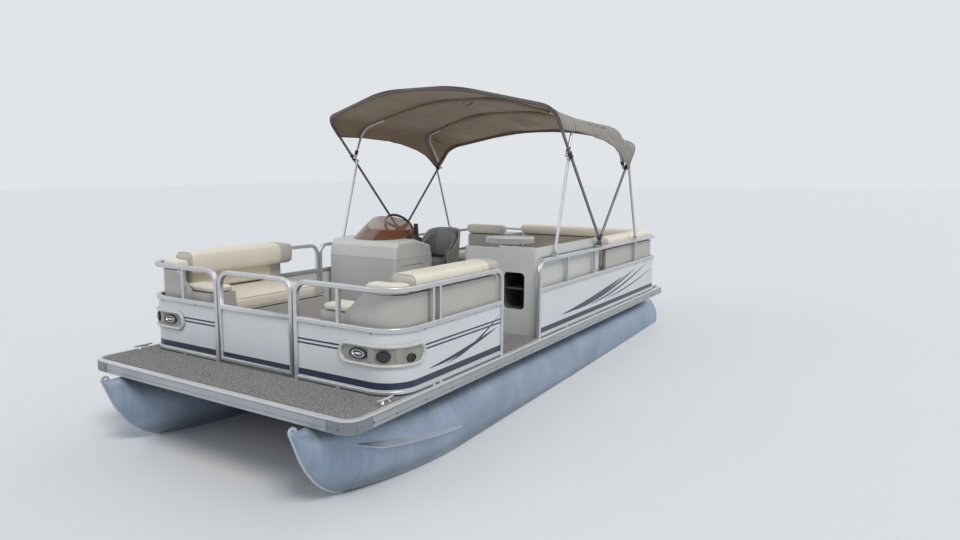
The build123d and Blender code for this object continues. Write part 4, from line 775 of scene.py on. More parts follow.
def stepped_route(route, count=None, pitch=None):
    """The same route with its points at even steps, so many of them or about a pitch long."""
    lengths = [0.0]
    for a, b in zip(route, route[1:]):
        lengths.append(lengths[-1] + (b - a).length)
    count = count or max(2, round(lengths[-1] / pitch))
    result, seat = [], 0
    for step in range(count + 1):
        target = lengths[-1] * step / count
        while seat < len(route) - 2 and lengths[seat + 1] < target:
            seat += 1
        span = lengths[seat + 1] - lengths[seat] or 1.0
        result.append(route[seat].lerp(route[seat + 1], (target - lengths[seat]) / span))
    return result


def surface_of(piece):
    mesh = piece.data
    return BVHTree.FromPolygons([vertex.co for vertex in mesh.vertices],
                                [face.vertices for face in mesh.polygons])


def lay(surface, route, pitch=0.012, reach=0.06):
    """A route pressed onto a surface, as (point, normal) pairs."""
    laid = []
    for point in stepped_route(route, pitch=pitch):
        near, normal, _, distance = surface.find_nearest(point)
        if near and distance < reach:
            laid.append((near, normal))
    return laid


def dip(piece, routes, depth=0.0030, width=0.010):
    """Draws the cover in along seams."""
    points = [point for route in routes for point, _ in route]
    tree = KDTree(len(points))
    for index, point in enumerate(points):
        tree.insert(point, index)
    tree.balance()
    for vertex in piece.data.vertices:
        distance = tree.find(vertex.co)[2]
        if distance < width * 2.6:
            vertex.co -= vertex.normal * depth * math.exp(-(distance / width) ** 2)
    piece.data.update()


# %% [markdown]
# A cord is a ring swept along its route, and its rings are turned as little as possible from one
# to the next so that it doesn't twist. A stitch is a small spindle of eight faces, half sunk.

# %% Cords and stitches


def tube_mesh(name, routes, radius, sides=8):
    """Round cord along routes of points."""
    work = bmesh.new()
    for route in routes:
        rings = []
        guide = Vector((0, 0, 1))
        for index, point in enumerate(route):
            ahead = heading(route, index)
            if ahead.length < 1e-7:
                continue
            ahead.normalize()
            across, guide = square_to(ahead, guide)
            guide.normalize()
            rings.append(ring_of(work, (point + spoke for spoke in circle(across, guide, radius, sides))))
        if rings:
            bridge(work, rings)
    return to_mesh(name, work)


def stitches_mesh(name, routes, length=0.007, radius=0.0009):
    """Short threads along routes of (point, normal) pairs, with a gap after each."""
    work = bmesh.new()
    for route in routes:
        for (point, normal), (ahead, _) in list(zip(route, route[1:]))[::2]:
            along = ahead - point
            if along.length < 1e-6:
                continue
            along.normalize()
            side = along.cross(normal).normalized() * radius
            lift = normal * radius * 1.6
            sunk = point - normal * radius
            ends = ring_of(work, (sunk, sunk + along * length))
            middle = point + along * (length / 2)
            ring = ring_of(work, (middle + side, middle + lift, middle - side, middle - lift))
            for one, two in zip(ring, ring[1:] + ring[:1]):
                work.faces.new((ends[0], one, two))
                work.faces.new((ends[1], two, one))
    return to_mesh(name, work, smooth=False)


# %% [markdown]
# Many pads here are two-tone: cream, with a grey-beige panel at the end. The colour changes
# exactly at a seam, so the mesh is first cut along that plane.

# %% Two-tone covers and sewing


def cut_along(work, point, normal, dist=0.0005, **options):
    """Cuts a whole bmesh along a plane."""
    bmesh.ops.bisect_plane(work, geom=work.verts[:] + work.edges[:] + work.faces[:], dist=dist,
                           plane_co=point, plane_no=normal, **options)


def cover(piece, finishes, cuts):
    """Cuts a cover along planes and gives the faces on the far side of any plane the second finish."""
    mesh = piece.data
    for finish in finishes:
        mesh.materials.append(FINISHES[finish])
    work = bmesh.new()
    work.from_mesh(mesh)
    for point, normal in cuts:
        cut_along(work, point, normal)
    for face in work.faces:
        middle = face.calc_center_median()
        beyond = any((middle - Vector(point)).dot(Vector(normal)) > 0 for point, normal in cuts)
        face.material_index = int(beyond)
        face.smooth = True
    work.to_mesh(mesh)
    work.free()


def section_route(aft, y_low, y_high, low, high, radius=0.03):
    """A loop round a pad, across the boat."""
    corners = ((y_low, low), (y_high, low), (y_high, high), (y_low, high))
    return rounded_route([at(aft, port, height) for port, height in corners], radius, True)


def plan_route(corners, height, radius=0.03):
    """A loop round a pad at one height, through corners given as (aft, port)."""
    return rounded_route([at(aft, port, height) for aft, port in corners], radius, True)


def thread_rows(surface, seam):
    """A row of stitches on each side of a seam."""
    points = [point for point, _ in seam]
    for shift in (-0.011, 0.011):
        row = []
        for index, (point, normal) in enumerate(seam):
            ahead = heading(points, index)
            if ahead.length < 1e-7:
                continue
            side = ahead.normalized().cross(normal)
            row.append(surface.find_nearest(point + side * shift)[:2])
        yield row


def sew(piece, name, body, piped=(), stitched=(), finish="piping"):
    """Draws a cover in along its seams and adds their cord and thread."""
    surface = surface_of(piece)
    cords = [lay(surface, route) for route in piped]
    seams = [lay(surface, route, 0.006) for route in stitched]
    if cords or seams:
        dip(piece, cords + seams)
    surface = surface_of(piece)
    if cords:
        lifted_cords = [[point + normal * 0.0004 for point, normal in route] for route in cords]
        mesh = tube_mesh(name + "_piping", lifted_cords, 0.0034)
        new_piece(name + "_piping", mesh, body, finish)
    if seams:
        mesh = stitches_mesh(name + "_stitches", [row for seam in seams for row in thread_rows(surface, seam)])
        new_piece(name + "_stitches", mesh, body, finish)


def cushion(name, node_name, voxel, finishes, cuts=(), piped=(), stitched=(), body="hull",
            thread="piping", **shape):
    """A stuffed, covered and sewn pad in the place of a soft node."""
    piece = stuff(name, node_name, voxel, **shape)
    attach(piece, body)
    cover(piece, finishes, cuts)
    sew(piece, name, body, piped, stitched, thread)


# %% [markdown]
# The bow benches have a boxed seat, a thin back pad and a thick headroll that laps over the
# fence. The headroll is cream with double stitched seams across it and a grey-beige end cap at
# each end.

# %% Bow benches
CREAM_FIRST, BEIGE_FIRST = ("cream_vinyl", "beige_vinyl"), ("beige_vinyl", "cream_vinyl")
AHEAD, ASTERN = (1, 0, 0), (-1, 0, 0)
SEAT_TOP, SEAT_UNDER = 0.390, 0.304  # the piping's heights on every seat


def lap_over_back(point):
    """The headroll's inner side hangs lower, in front of the back pad."""
    inner = max(0.0, min(1.0, (1.12 - abs(point.y)) / 0.10))
    low = max(0.0, min(1.0, (DECK_Z + 0.690 - point.z) / 0.06))
    return point - Vector((0, 0, 0.062 * inner * low))


def sections(stations, *measures):
    """Loops round a pad, across the boat, at several stations."""
    return [section_route(aft, *measures) for aft in stations]


for side, word in SIDES:
    rim = [(0.716, side * 0.524), (1.626, side * 0.524), (1.626, side * 1.12), (0.716, side * 1.12)]
    ends = sorted((side * 0.508, side * 1.136))
    cushion(f"bow_seat_cushion_{word}", f"bow_seat_pad_{word}", 0.018, CREAM_FIRST, [(at(1.50, 0, 0), ASTERN)],
            piped=[plan_route(rim, height) for height in (SEAT_TOP, SEAT_UNDER)]
            + sections([1.50], *ends, 0.29, 0.40), stitched=sections([1.10], *ends, 0.29, 0.40))
    measures = (*sorted((side * 1.044, side * 1.136)), 0.40, 0.60, 0.02)
    cushion(f"bow_back_cushion_{word}", f"bow_back_pad_{word}", 0.015, BEIGE_FIRST, [(at(1.50, 0, 0), AHEAD)],
            piped=sections([1.50], *measures), stitched=sections([1.10], *measures))
    measures = (*sorted((side * 0.96, side * 1.16)), 0.55, 0.715, 0.045)
    cushion(f"bow_headroll_{word}", f"bow_bolster_{word}", 0.015, CREAM_FIRST,
            [(at(1.545, 0, 0), ASTERN), (at(0.668, 0, 0), AHEAD)],
            piped=sections([1.545, 0.668], *measures), stitched=sections([1.14, 1.46], *measures),
            shrink=0.0, cap=0.018, form=lap_over_back, relax=12)
    arm = [(0.516, side * 0.53), (0.69, side * 0.53), (0.69, side * 0.86), (0.516, side * 0.86)]
    cushion(f"bow_corner_cushions_{word}", f"bow_corner_pads_{word}", 0.013, ["cream_vinyl"],
            piped=[plan_route(arm, 0.462)])

# %% [markdown]
# Aft, a bench runs across the stern and returns along the port side, and a single seat stands
# to starboard. Its cover is in panels, so stitched seams cross it about every 0.6 m. Where the
# headroll ends, a darker cap closes it.

# %% Stern lounge
PANEL_PORTS = (0.0, 0.555)  # where seams cross the bench along the stern
single_rim = [(4.384, -1.145), (4.384, -0.62), (4.99, -0.62), (4.99, -1.145)]
bench_rim = [(4.782, -0.545), (5.41, -0.545), (5.41, 1.12), (3.895, 1.12), (3.895, 0.564), (4.782, 0.564)]
across_seams = [rounded_route([at(4.75, port, 0.295), at(4.75, port, 0.41), at(5.42, port, 0.41)], 0.03)
                for port in PANEL_PORTS]
along_seams = [rounded_route([at(aft, 0.535, 0.295), at(aft, 0.535, 0.41), at(aft, 1.13, 0.41)], 0.03)
               for aft in (4.33, 4.766)]
cushion("stern_seat_cushions", "stern_seat_pad", 0.024, CREAM_FIRST,
        piped=[plan_route(rim, height)
               for height in (SEAT_TOP, SEAT_UNDER) for rim in (single_rim, bench_rim)],
        stitched=across_seams + along_seams)
# the stern back pads are beige all over, the tone read off them in shade: painted shade
cushion("stern_back_cushions", "stern_back_pad", 0.020, BEIGE_FIRST,
        stitched=[[at(5.33, port, 0.41), at(5.33, port, 0.60)] for port in PANEL_PORTS]
        + [[at(aft, 1.04, 0.41), at(aft, 1.04, 0.60)] for aft in (4.33, 4.80)])
measures = (0.98, 1.166, 0.60, 0.722, 0.04)
over_roll = [rounded_route([at(5.25, port, 0.61), at(5.25, port, 0.725), at(5.46, port, 0.725),
                            at(5.46, port, 0.61)], 0.04) for port in (-0.10, 0.42)]
cushion("stern_headroll", "stern_bolster", 0.018, CREAM_FIRST, [(at(3.93, 0, 0), AHEAD)],
        piped=sections([3.93], *measures), stitched=over_roll + sections([4.40, 4.90], *measures),
        shrink=0.004, cap=0.016, relax=8)

# %% [markdown]
# The helm chair is a moulded bucket lined with a wrapped pad, covered in a darker taupe.

# %% Helm chair
chair_rim = [(3.17, -0.86), (3.17, -0.45), (3.57, -0.45), (3.57, -0.86)]
cushion("helm_chair_lining", "chair_cushions", 0.014, ("taupe_vinyl", "cream_vinyl"),
        piped=[plan_route(chair_rim, 0.43, 0.05)], body="helm_chair", thread="taupe_vinyl")

# %% [markdown]
# ## The sun canopy
#
# The canopy is one cloth over four bows. Between the bows it is pulled straight along the boat
# and hollows a little, its lower hem runs level at the front and then plunges aft to the hinge,
# and it is looser behind the third bow, where it wrinkles. It is built as rows of arches: the
# shape is held by the frame, so a simulation would only find again what the frame says. The
# cloth is given a thickness, so that its proofed underside can have its own finish.

# %% Arches over the bows
PIVOT = (3.578, 0.690)
FRONT_HINGE = (2.788, 1.507)
REAR_HINGE = (4.307, 1.434)
# foot, crown, half width: all in metres aft and over the deck
CANOPY_BOWS = [
    (PIVOT, (2.256, 2.057), 1.219),
    (FRONT_HINGE, (3.030, 2.050), 1.200),
    (REAR_HINGE, (3.850, 2.000), 1.200),
    (PIVOT, (4.730, 1.870), 1.200),
]
SHOULDER_DROP, CROWN_HALF = 0.262, 0.380  # shoulder under the crown, half of the crown's flat part
LEG_LENGTH = 0.30  # how far the cloth's line follows a leg below the shoulder
# where the hem is: station aft, height over the deck
HEM = [(2.50, 1.700), (2.70, 1.708), (2.95, 1.714), (3.30, 1.704), (3.60, 1.676), (3.85, 1.634),
       (4.05, 1.576), (4.18, 1.505), (4.30, 1.425), (4.36, 1.440)]
CLOTH_OFF = 0.0150  # the cloth's outer face over a bow's centre line
SIDE_FROM = 1.17  # the cloth hangs as a side beyond this distance from the middle
LOOSE = (0.008, 0.018, 0.032)  # how far the cloth hollows between each pair of bows


def table_at(table, value):
    """Reads a table of pairs between its rows."""
    for (a, low), (b, high) in zip(table, table[1:]):
        if value <= b:
            share = max(0.0, (value - a) / (b - a))
            share = share * share * (3 - 2 * share) * 0.4 + share * 0.6
            return low + (high - low) * share
    return table[-1][1]


def bow_plane(bow):
    """A bow's rise from foot to crown, and a function that places (port, up) in its plane."""
    foot, crown, _ = bow
    rise = math.dist(foot, crown)
    lean = ((crown[0] - foot[0]) / rise, (crown[1] - foot[1]) / rise)
    return rise, lambda port, up: at(foot[0] + lean[0] * up, port, foot[1] + lean[1] * up)


def arch(bow, steps=10):
    """The outer line of the cloth over one bow, from shoulder to shoulder."""
    rise, in_plane = bow_plane(bow)
    half, top = bow[2] + CLOTH_OFF, rise + CLOTH_OFF
    shoulder, edge = top - SHOULDER_DROP, (CROWN_HALF, top, 0)
    line = rounded_route([(half, shoulder - LEG_LENGTH, 0), (half, shoulder, 0), edge], 0.165, steps=steps)
    crown_line = rounded_route([line[-2], edge, (0, top, 0)], 2.25, steps=steps)
    side = line[1:-1] + stepped_route(crown_line, pitch=0.045)[1:]
    points = side + [Vector((-point.x, point.y, 0)) for point in reversed(side[:-1])]
    return [in_plane(point.x, point.y) for point in points]


def hem_station(bow, station):
    """Where the bow's plane meets the hem's height."""
    foot, crown, _ = bow
    for _ in range(8):
        height = table_at(HEM, station)
        station = foot[0] + (crown[0] - foot[0]) * (height - foot[1]) / (crown[1] - foot[1])
    return station


def slack(point, index, hollow):
    """How a point of the cloth moves inward, by hollow, folds and ripples."""
    side = abs(point.y) > SIDE_FROM
    spot = Vector((point.x * 1.3, point.y * 5.5, point.z * 5.5))
    fold = noise.noise(spot) * LOOSE[index] * (1.0 if index == 2 else 0.6)
    slant = point.z * 26 + (BOW_X - point.x) * 15 + noise.noise(spot * 0.7) * 5
    fold += abs(math.sin(slant)) * (0.030 if side and index else 0.004) * (0.5 + noise.noise(spot * 1.7))
    ripple = noise.noise(Vector((point.x * 7, point.y * 9 + 7, point.z * 9))) * 0.004
    inward = Vector((0, -1 if point.y > 0 else 1, 0)) if side else Vector((0, 0, -1))
    sag = LOOSE[index] * (0.55 if side else 0.45)
    return inward * hollow * (sag + max(fold + ripple, -sag))


def canopy_rows(across=96, leg=14, counts=(10, 22, 24)):
    """Rows of points from hem to hem, from the front bow aft."""
    arches = [stepped_route(arch(bow), count=across) for bow in CANOPY_BOWS]
    hems = [hem_station(bow, BOW_X - top[0].x) for bow, top in zip(CANOPY_BOWS, arches)]
    result = []
    for index, count in enumerate(counts):
        for step in range(count + (index == len(counts) - 1)):
            share = step / count
            line = [a.lerp(b, share) for a, b in zip(arches[index], arches[index + 1])]
            station = hems[index] * (1 - share) + hems[index + 1] * share
            hem_z = DECK_Z + table_at(HEM, station)
            port_hem = Vector((BOW_X - station, line[0].y, hem_z))
            star_hem = Vector((BOW_X - station, line[-1].y, hem_z))
            row = [port_hem.lerp(line[0], k / leg) for k in range(leg)] + line
            row += [line[-1].lerp(star_hem, k / leg) for k in range(1, leg + 1)]
            hollow = 4 * share * (1 - share)
            result.append([point + slack(point, index, hollow) for point in row])
    return result


rows = canopy_rows()
print("canopy rows", len(rows), "of", len(rows[0]))

# %% [markdown]
# The cloth, its bound edge and its seams are made in place over the open frame and stay there:
# the rear bow is fixed and the front bow folds aft, but these pieces don't follow it.

# %% Cloth, binding and seams
CLOTH_THICK = 0.0022
GIRTH_ROW = 20  # the row of arches whose length is the cloth's girth
SEAM_ROWS = (10, 32, 3)


def fold_with_canopy(piece):
    at(4.30, 0, 1.5)
    at(2.60, 0, 1.5)
    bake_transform(piece)


def canopy_cloth():
    """The cloth as a piece, and its area."""
    work = bmesh.new()
    points = [ring_of(work, row) for row in rows]
    for one, two in zip(points, points[1:]):
        for corners in zip(one, one[1:], two[1:], two):
            work.faces.new(corners)
    mesh = to_mesh("canopy", work)
    piece = new_piece("canopy", mesh, None)
    for finish in ("canvas_taupe", "canopy_underside"):
        mesh.materials.append(FINISHES[finish])
    if max(mesh.polygons, key=lambda face: face.center.z).normal.z < 0:
        mesh.flip_normals()
    modify(piece, "thickness", "SOLIDIFY", thickness=CLOTH_THICK, offset=-1, material_offset=1)
    mesh = bake_modifiers(piece)
    mesh.shade_smooth()
    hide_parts("bimini_canopy")
    fold_with_canopy(piece)
    return piece, sum(face.area for face in mesh.polygons) / 2


def cloth_cord(name, lines, pitch, radius, sides=8):
    """Cords that are sewn to the cloth."""
    mesh = tube_mesh(name, [stepped_route(line, pitch=pitch) for line in lines], radius, sides)
    piece = new_piece(name, mesh, None, "binding")
    fold_with_canopy(piece)
    return piece


def lifted(line, lift=0.0005):
    """A line moved out of the cloth, away from the boat's middle."""
    middle = at(3.45, 0, 1.2)
    return [point + (point - middle).normalized() * lift for point in line]


cloth, cloth_area = canopy_cloth()
edge_lines = [[row[0] for row in rows], [row[-1] for row in rows], rows[0], rows[-1]]
binding = cloth_cord("canopy_binding", edge_lines, 0.022, 0.0052)
seam_lines = [lifted(rows[index]) for index in SEAM_ROWS]
seams = cloth_cord("canopy_seams", seam_lines, 0.03, 0.0022, 6)
girth = sum((b - a).length for a, b in zip(rows[GIRTH_ROW], rows[GIRTH_ROW][1:]))
print("cloth area", round(cloth_area, 3), "m2, girth", round(girth, 3), "m")

# %% [markdown]
# ## Lamp plates on the bow corners
#
# Each bow corner wears a moulded plate, bent round the panel, with a raised rounded rim and a
# sunken floor that holds three lamps. A plate like this is one function of a place on it: the
# distance to a rounded rectangle says where the rim is, so a fine grid is bent round the corner
# and pushed out by that function.

# %% A plate bent round the corner
PLATE_FROM, PLATE_AFT = 0.745, 0.720
PLATE_LOW, PLATE_HIGH = 0.168, 0.316
CORNER = 0.200
STRAIGHT = FENCE_HALF - CORNER - PLATE_FROM  # the plate's part on the front panel
BEND = CORNER * math.pi / 2
SIDE_STARTS = FENCE_FRONT + CORNER
PLATE_LONG = STRAIGHT + BEND + (PLATE_AFT - SIDE_STARTS)
PLATE_MIDDLE = (PLATE_LOW + PLATE_HIGH) / 2


def on_corner(side, along, height, out):
    """A point on the bow corner: along the panel, up, and out of it."""
    if along < STRAIGHT:
        return at(FENCE_FRONT - out, side * (PLATE_FROM + along), height)
    if along < STRAIGHT + BEND:
        turn = (along - STRAIGHT) / CORNER
        return at(SIDE_STARTS - (CORNER + out) * math.cos(turn),
                  side * (FENCE_HALF - CORNER + (CORNER + out) * math.sin(turn)), height)
    return at(SIDE_STARTS + along - STRAIGHT - BEND, side * (FENCE_HALF + out), height)


def rim_distance(u, v, half_long, half_high, corner):
    """Distance to a rounded rectangle: below 0 inside it."""
    a, b = abs(u) - half_long + corner, abs(v) - half_high + corner
    return math.hypot(max(a, 0), max(b, 0)) + min(max(a, b), 0) - corner


def hump(value, high):
    """Rises and falls smoothly between 0 and a value."""
    share = value / high
    return math.sin(math.pi * share) ** 0.6 if 0 < share < 1 else 0.0


def plate_relief(u, inside):
    """How far the plate stands out of the panel: a rim, and two low domes on its floor."""
    out = 0.0030 + 0.019 * hump(inside, 0.030)
    for centre, wide in ((-0.068, 0.026), (0.105, 0.030)):
        dome = max(0.0, 1 - ((u - centre) / wide) ** 4)
        out += 0.011 * min(1.0, max(0.0, (inside - 0.026) / 0.008)) * dome
    return out


def lamp_plate(side, word, columns=150, lines=56):
    work = bmesh.new()
    high = PLATE_HIGH - PLATE_LOW
    grid = []
    for column in range(columns + 1):
        u = (column / columns - 0.5) * PLATE_LONG
        line = []
        for step in range(lines + 1):
            v = (step / lines - 0.5) * high
            d = rim_distance(u, v, PLATE_LONG / 2, high / 2, 0.074)
            place = on_corner(side, u + PLATE_LONG / 2, PLATE_MIDDLE + v, plate_relief(u, -d))
            line.append((work.verts.new(place), d))
        grid.append(line)
    for one, two in zip(grid, grid[1:]):
        for spots in zip(one, one[1:], two[1:], two):
            outmost = max(d for _, d in spots)
            if outmost < 0.001:
                face = work.faces.new([vertex for vertex, _ in spots])
                # faces deep in the recess take the darker finish: painted shade
                face.material_index = int(outmost < -0.0255)
    bmesh.ops.delete(work, geom=[vertex for vertex in work.verts if not vertex.link_faces], context="VERTS")
    bmesh.ops.recalc_face_normals(work, faces=work.faces)
    foremost = max(work.faces, key=lambda face: face.calc_center_median().x)
    if foremost.normal.dot(Vector((1, side, 0))) < 0:
        bmesh.ops.reverse_faces(work, faces=work.faces)
    mesh = to_mesh(f"lamp_plate_{word}", work, turn=False)
    piece = new_piece(f"lamp_plate_{word}", mesh, "hull", "lamp_plate")
    mesh.materials.append(FINISHES["lamp_recess_shade"])
    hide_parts(f"light_bezel_{word}")


# %% [markdown]
# Round and oval fittings are turned shapes: a profile of radius and height that is spun round an
# axis, and squeezed for an oval. The same helper makes lamps, snaps, screw heads and collars.

# %% Turned shapes and lamps


def turned(work, centre, axis, profile, squeeze=1.0, sides=20, up=(0, 0, 1)):
    """Adds a spun profile, given as (radius, height) along an axis."""
    axis = Vector(axis).normalized()
    across, over = square_to(axis, Vector(up), 0.1)
    over *= squeeze
    rings = []
    for radius, height in profile:
        middle = Vector(centre) + axis * height
        spokes = circle(across, over, radius, sides) if radius > 0 else [Vector()]
        rings.append(ring_of(work, (middle + spoke for spoke in spokes)))
    for one, two in zip(rings, rings[1:]):
        for side in range(sides):
            ahead = (side + 1) % sides
            corners = [one[side % len(one)], one[ahead % len(one)],
                       two[ahead % len(two)], two[side % len(two)]]
            corners = list(dict.fromkeys(corners))
            if len(corners) > 2:
                work.faces.new(corners)


def spun_piece(name, body, finish, shapes):
    """One piece from many turned shapes."""
    work = bmesh.new()
    for shape in shapes:
        turned(work, *shape)
    return mesh_piece(name, work, body, finish)


def scaled(radius, profile):
    """A profile whose radii are given as shares of the first one."""
    return [(radius * share, height) for share, height in profile]


LAMP = [(1, -0.004), (1, 0.004), (0.94, 0.0065), (0.80, 0.0065), (0.74, 0.002), (0.5, 0.0), (0, -0.001)]
LAMP_RING = [(0.74, 0.001), (0.70, 0.0055), (0.60, 0.0055), (0.56, 0.001)]
LAMP_BAR = [(0.42, 0.000), (0.40, 0.0045), (0, 0.0050)]
# place along the plate from its middle, height, radius, how oval
LAMPS = ((-0.160, 0.246, 0.070, 0.48), (0.014, 0.244, 0.046, 0.80), (0.184, 0.226, 0.034, 0.75))
black_shapes, chrome_shapes = [], []
for side, word in SIDES:
    lamp_plate(side, word)
    for index, (along, height, radius, squeeze) in enumerate(LAMPS):
        place, further = (on_corner(side, PLATE_LONG / 2 + along, height, out) for out in (0.009, 0.019))
        out = further - place
        black_shapes.append((place, out, scaled(radius, LAMP), squeeze, 32))
        if index == 0:
            chrome_shapes.append((place, out, scaled(radius, LAMP_RING), squeeze, 32))
            chrome_shapes.append((place, out, scaled(radius, LAMP_BAR), 0.24, 24))
lamps = spun_piece("lamp_bodies", "hull", "dark_glass", black_shapes)
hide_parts("docking_lamps")
spun_piece("lamp_chrome", "hull", "chrome", chrome_shapes)

# %% [markdown]
# ## Small fittings
#
# Snaps for a cover run under the mid rail every 0.3 m. Screws hold the corner caps and the edge
# rail, and every foot of the fence is bolted to the deck. Tables of places keep them in order.

# %% Snaps, screws and bolts
SNAP = [(0.0062, -0.001), (0.0062, 0.0025), (0.005, 0.0038), (0.0026, 0.0038), (0.0022, 0.0055), (0, 0.006)]
SCREW = [(0.0062, -0.001), (0.0062, 0.0008), (0.0045, 0.0026), (0.0016, 0.0030), (0.0012, 0.0018), (0, 0.0018)]
BOLT = [(0.012, -0.001), (0.012, 0.0016), (0.0085, 0.002), (0.008, 0.0065), (0.006, 0.0080), (0, 0.0084)]
SNAP_OUT, SNAP_HEIGHT, SNAP_PITCH = 0.0025, 0.378, 0.292
CAP_Z, SCREW_Z, BOLT_Z = -0.052, -0.062, 0.0005
POSTS = (0.64, 1.06, 1.64, 2.38, 2.98, 3.52, 4.10, 4.70, 5.28)
DOORWAY_POST = 1.64  # a post of the side gate's opening, so it stands to port only


def row_of(start, count, pitch):
    return [start + index * pitch for index in range(count)]


snaps, screws, bolts = [], [], []
for side, _ in SIDES:
    outward = (0, side, 0)
    for station in row_of(2.44, 11, SNAP_PITCH) + row_of(0.72, 4, SNAP_PITCH):
        snaps.append((at(station, side * (FENCE_HALF + SNAP_OUT), SNAP_HEIGHT), outward, SNAP))
    screws += [(at(station, side * 1.2235, CAP_Z), outward, SCREW) for station in (0.05, 0.19)]
    screws += [(at(-0.0035, side * port, CAP_Z), AHEAD, SCREW) for port in (1.06, 1.13)]
    screws += [(at(station, side * 1.2203, SCREW_Z), outward, SCREW) for station in row_of(0.40, 18, 0.29)]
    bolts += [(at(station, side * 1.152, BOLT_Z), (0, 0, 1), BOLT) for station in POSTS
              if side > 0 or station != DOORWAY_POST]
snaps += [(at(FENCE_FRONT - SNAP_OUT, port, SNAP_HEIGHT), AHEAD, SNAP) for port in (-1.0, -0.62, 0.62, 1.0)]
snaps += [(at(FENCE_STERN + SNAP_OUT, port, SNAP_HEIGHT), ASTERN, SNAP) for port in (-0.9, -0.5, 0.5, 0.9)]
bolts += [(at(0.462, port, BOLT_Z), (0, 0, 1), BOLT) for port in (-0.98, -0.55, 0.55, 0.98)]
spun_piece("cover_snaps", "hull", "dark_steel", snaps)
spun_piece("edge_screws", "hull", "dark_steel", screws)
spun_piece("deck_bolts", "hull", "chrome", bolts)

# %% [markdown]
# A cleat stands at each corner of the deck. It is a bar with two horns on two short legs, so its
# bar is a tube whose radius changes along it, swept between the horns' tips.

# %% Cleats


def tapered_tube(work, points, radii, sides=12):
    """A round bar through points, with its own radius at each."""
    rings = []
    for index, (point, radius) in enumerate(zip(points, radii)):
        across, over = square_to(heading(points, index).normalized(), Vector((0, 1, 0)))
        rings.append(ring_of(work, (point + spoke for spoke in circle(across, over, radius, sides))))
    bridge(work, rings)


# share of the way to a horn's tip, and the bar's radius there
HORN = ((-1, 0.003), (-0.9, 0.0055), (-0.6, 0.0068), (-0.25, 0.0085), (0, 0.009))
HORNS = HORN + tuple((-share, radius) for share, radius in reversed(HORN[:-1]))
# a leg: share of its distance from the middle, height, radius
LEG = ((1.3, 0.0, 0.015), (1.2, 0.006, 0.0125), (1, 0.013, 0.008), (0.95, 0.022, 0.0075))
cleats = bmesh.new()
for station in (0.36, 5.60):
    for port in (1.165, -1.165):
        bar = [at(station + t * 0.075, port, 0.024 + 0.005 * t * t) for t, _ in HORNS]
        tapered_tube(cleats, bar, [radius for _, radius in HORNS])
        for shift in (-0.024, 0.024):
            leg = [at(station + shift * share, port, height) for share, height, _ in LEG]
            tapered_tube(cleats, leg, [radius for _, _, radius in LEG])
mesh_piece("mooring_cleats", cleats, "hull", "rail_aluminium", 60)

# %% [markdown]
# The jaw slides where the bows meet are black nylon, and so are the eye ends at the rail. They
# are collars: short turned sleeves with a rib at each end.

# %% Black collars on the canopy frame
COLLAR = [(0.0129, -0.030), (0.0175, -0.030), (0.0195, -0.027), (0.0195, -0.020), (0.0172, -0.017)]
COLLAR += [(radius, -height) for radius, height in reversed(COLLAR)]


def collar(bow, share, half, side, scale):
    """A sleeve on a bow's leg at a share of the way from its foot to its crown."""
    foot, crown, _ = bow
    a, b = at(foot[0], side * half, foot[1]), at(crown[0], side * half, crown[1])
    profile = [(radius, height * scale) for radius, height in COLLAR]
    return a.lerp(b, share), b - a, profile, 1.0, 20, (0, 1, 0)


def share_at(bow, hinge):
    """How far up its leg a bow passes a hinge."""
    foot, crown, _ = bow
    return (hinge[1] - foot[1]) / (crown[1] - foot[1])


front, second, third, rear = CANOPY_BOWS
# by body: bow, share of its leg, half width there, size
COLLARS = {
    "canopy_front_bow": [(front, share_at(front, FRONT_HINGE), 1.219, 1.0), (front, 0.045, 1.219, 0.8)],
    "hull": [(rear, share_at(rear, REAR_HINGE), 1.188, 1.0), (rear, 0.050, 1.188, 0.8)],
    "canopy_second_bow": [(second, 0.085, 1.188, 0.7)],
    "canopy_third_bow": [(third, 0.085, 1.158, 0.7)],
}
for body, collars in COLLARS.items():
    shapes = [collar(bow, share, half, side, scale)
              for side, _ in SIDES for bow, share, half, scale in collars]
    spun_piece(f"collars_{body}", body, "black_plastic", shapes)

# %% [markdown]
# Straps are looped round the crowns under the cloth, and one of them hangs down in the middle.

# %% Straps under the cloth
STRAP_SAG = (0, 0.15, 0.3, 0.45, 0.6, 0.75, 0.9, 1.0)


def ribbon(work, points, width_axis, width, thick=0.0016):
    """A flat strap along points."""
    axis = Vector(width_axis).normalized() * (width / 2)
    rings = []
    for index, point in enumerate(points):
        out = heading(points, index).normalized().cross(axis).normalized() * (thick / 2)
        corners = (axis + out, out - axis, -axis - out, axis - out)
        rings.append(ring_of(work, (point + corner for corner in corners)))
    bridge(work, rings)


def loop_round(bow, port, radius=0.0155):
    """A strap's loop round a bow's crown at a distance to port."""
    rise, in_plane = bow_plane(bow)
    beyond = max(0.0, abs(port) - CROWN_HALF)
    middle = in_plane(port, rise - SHOULDER_DROP * beyond / (bow[2] - CROWN_HALF))
    loop = circle(Vector((1, 0, 0)), Vector((0, 0, 1)), radius, 16)
    return [middle + spoke for spoke in loop + loop[:1]]


for body, bow, ports in (("canopy_front_bow", front, (-0.75, 0.75)),
                         ("canopy_second_bow", second, (-0.80, -0.02, 0.80)),
                         ("canopy_third_bow", third, (-0.80, 0.0, 0.80))):
    straps = bmesh.new()
    for port in ports:
        ribbon(straps, loop_round(bow, port), (0, 1, 0), 0.030)
    if bow is second:
        hang = loop_round(bow, -0.02, 0.017)[12]
        tail = [hang + Vector((0.03 * math.sin(t * 3), 0.11 * t, -0.012 - 0.028 * math.sin(t * 3.1)))
                for t in STRAP_SAG]
        ribbon(straps, tail, (1, 0, 0.2), 0.026)
    mesh_piece(f"straps_{body}", straps, body, "binding", 60)

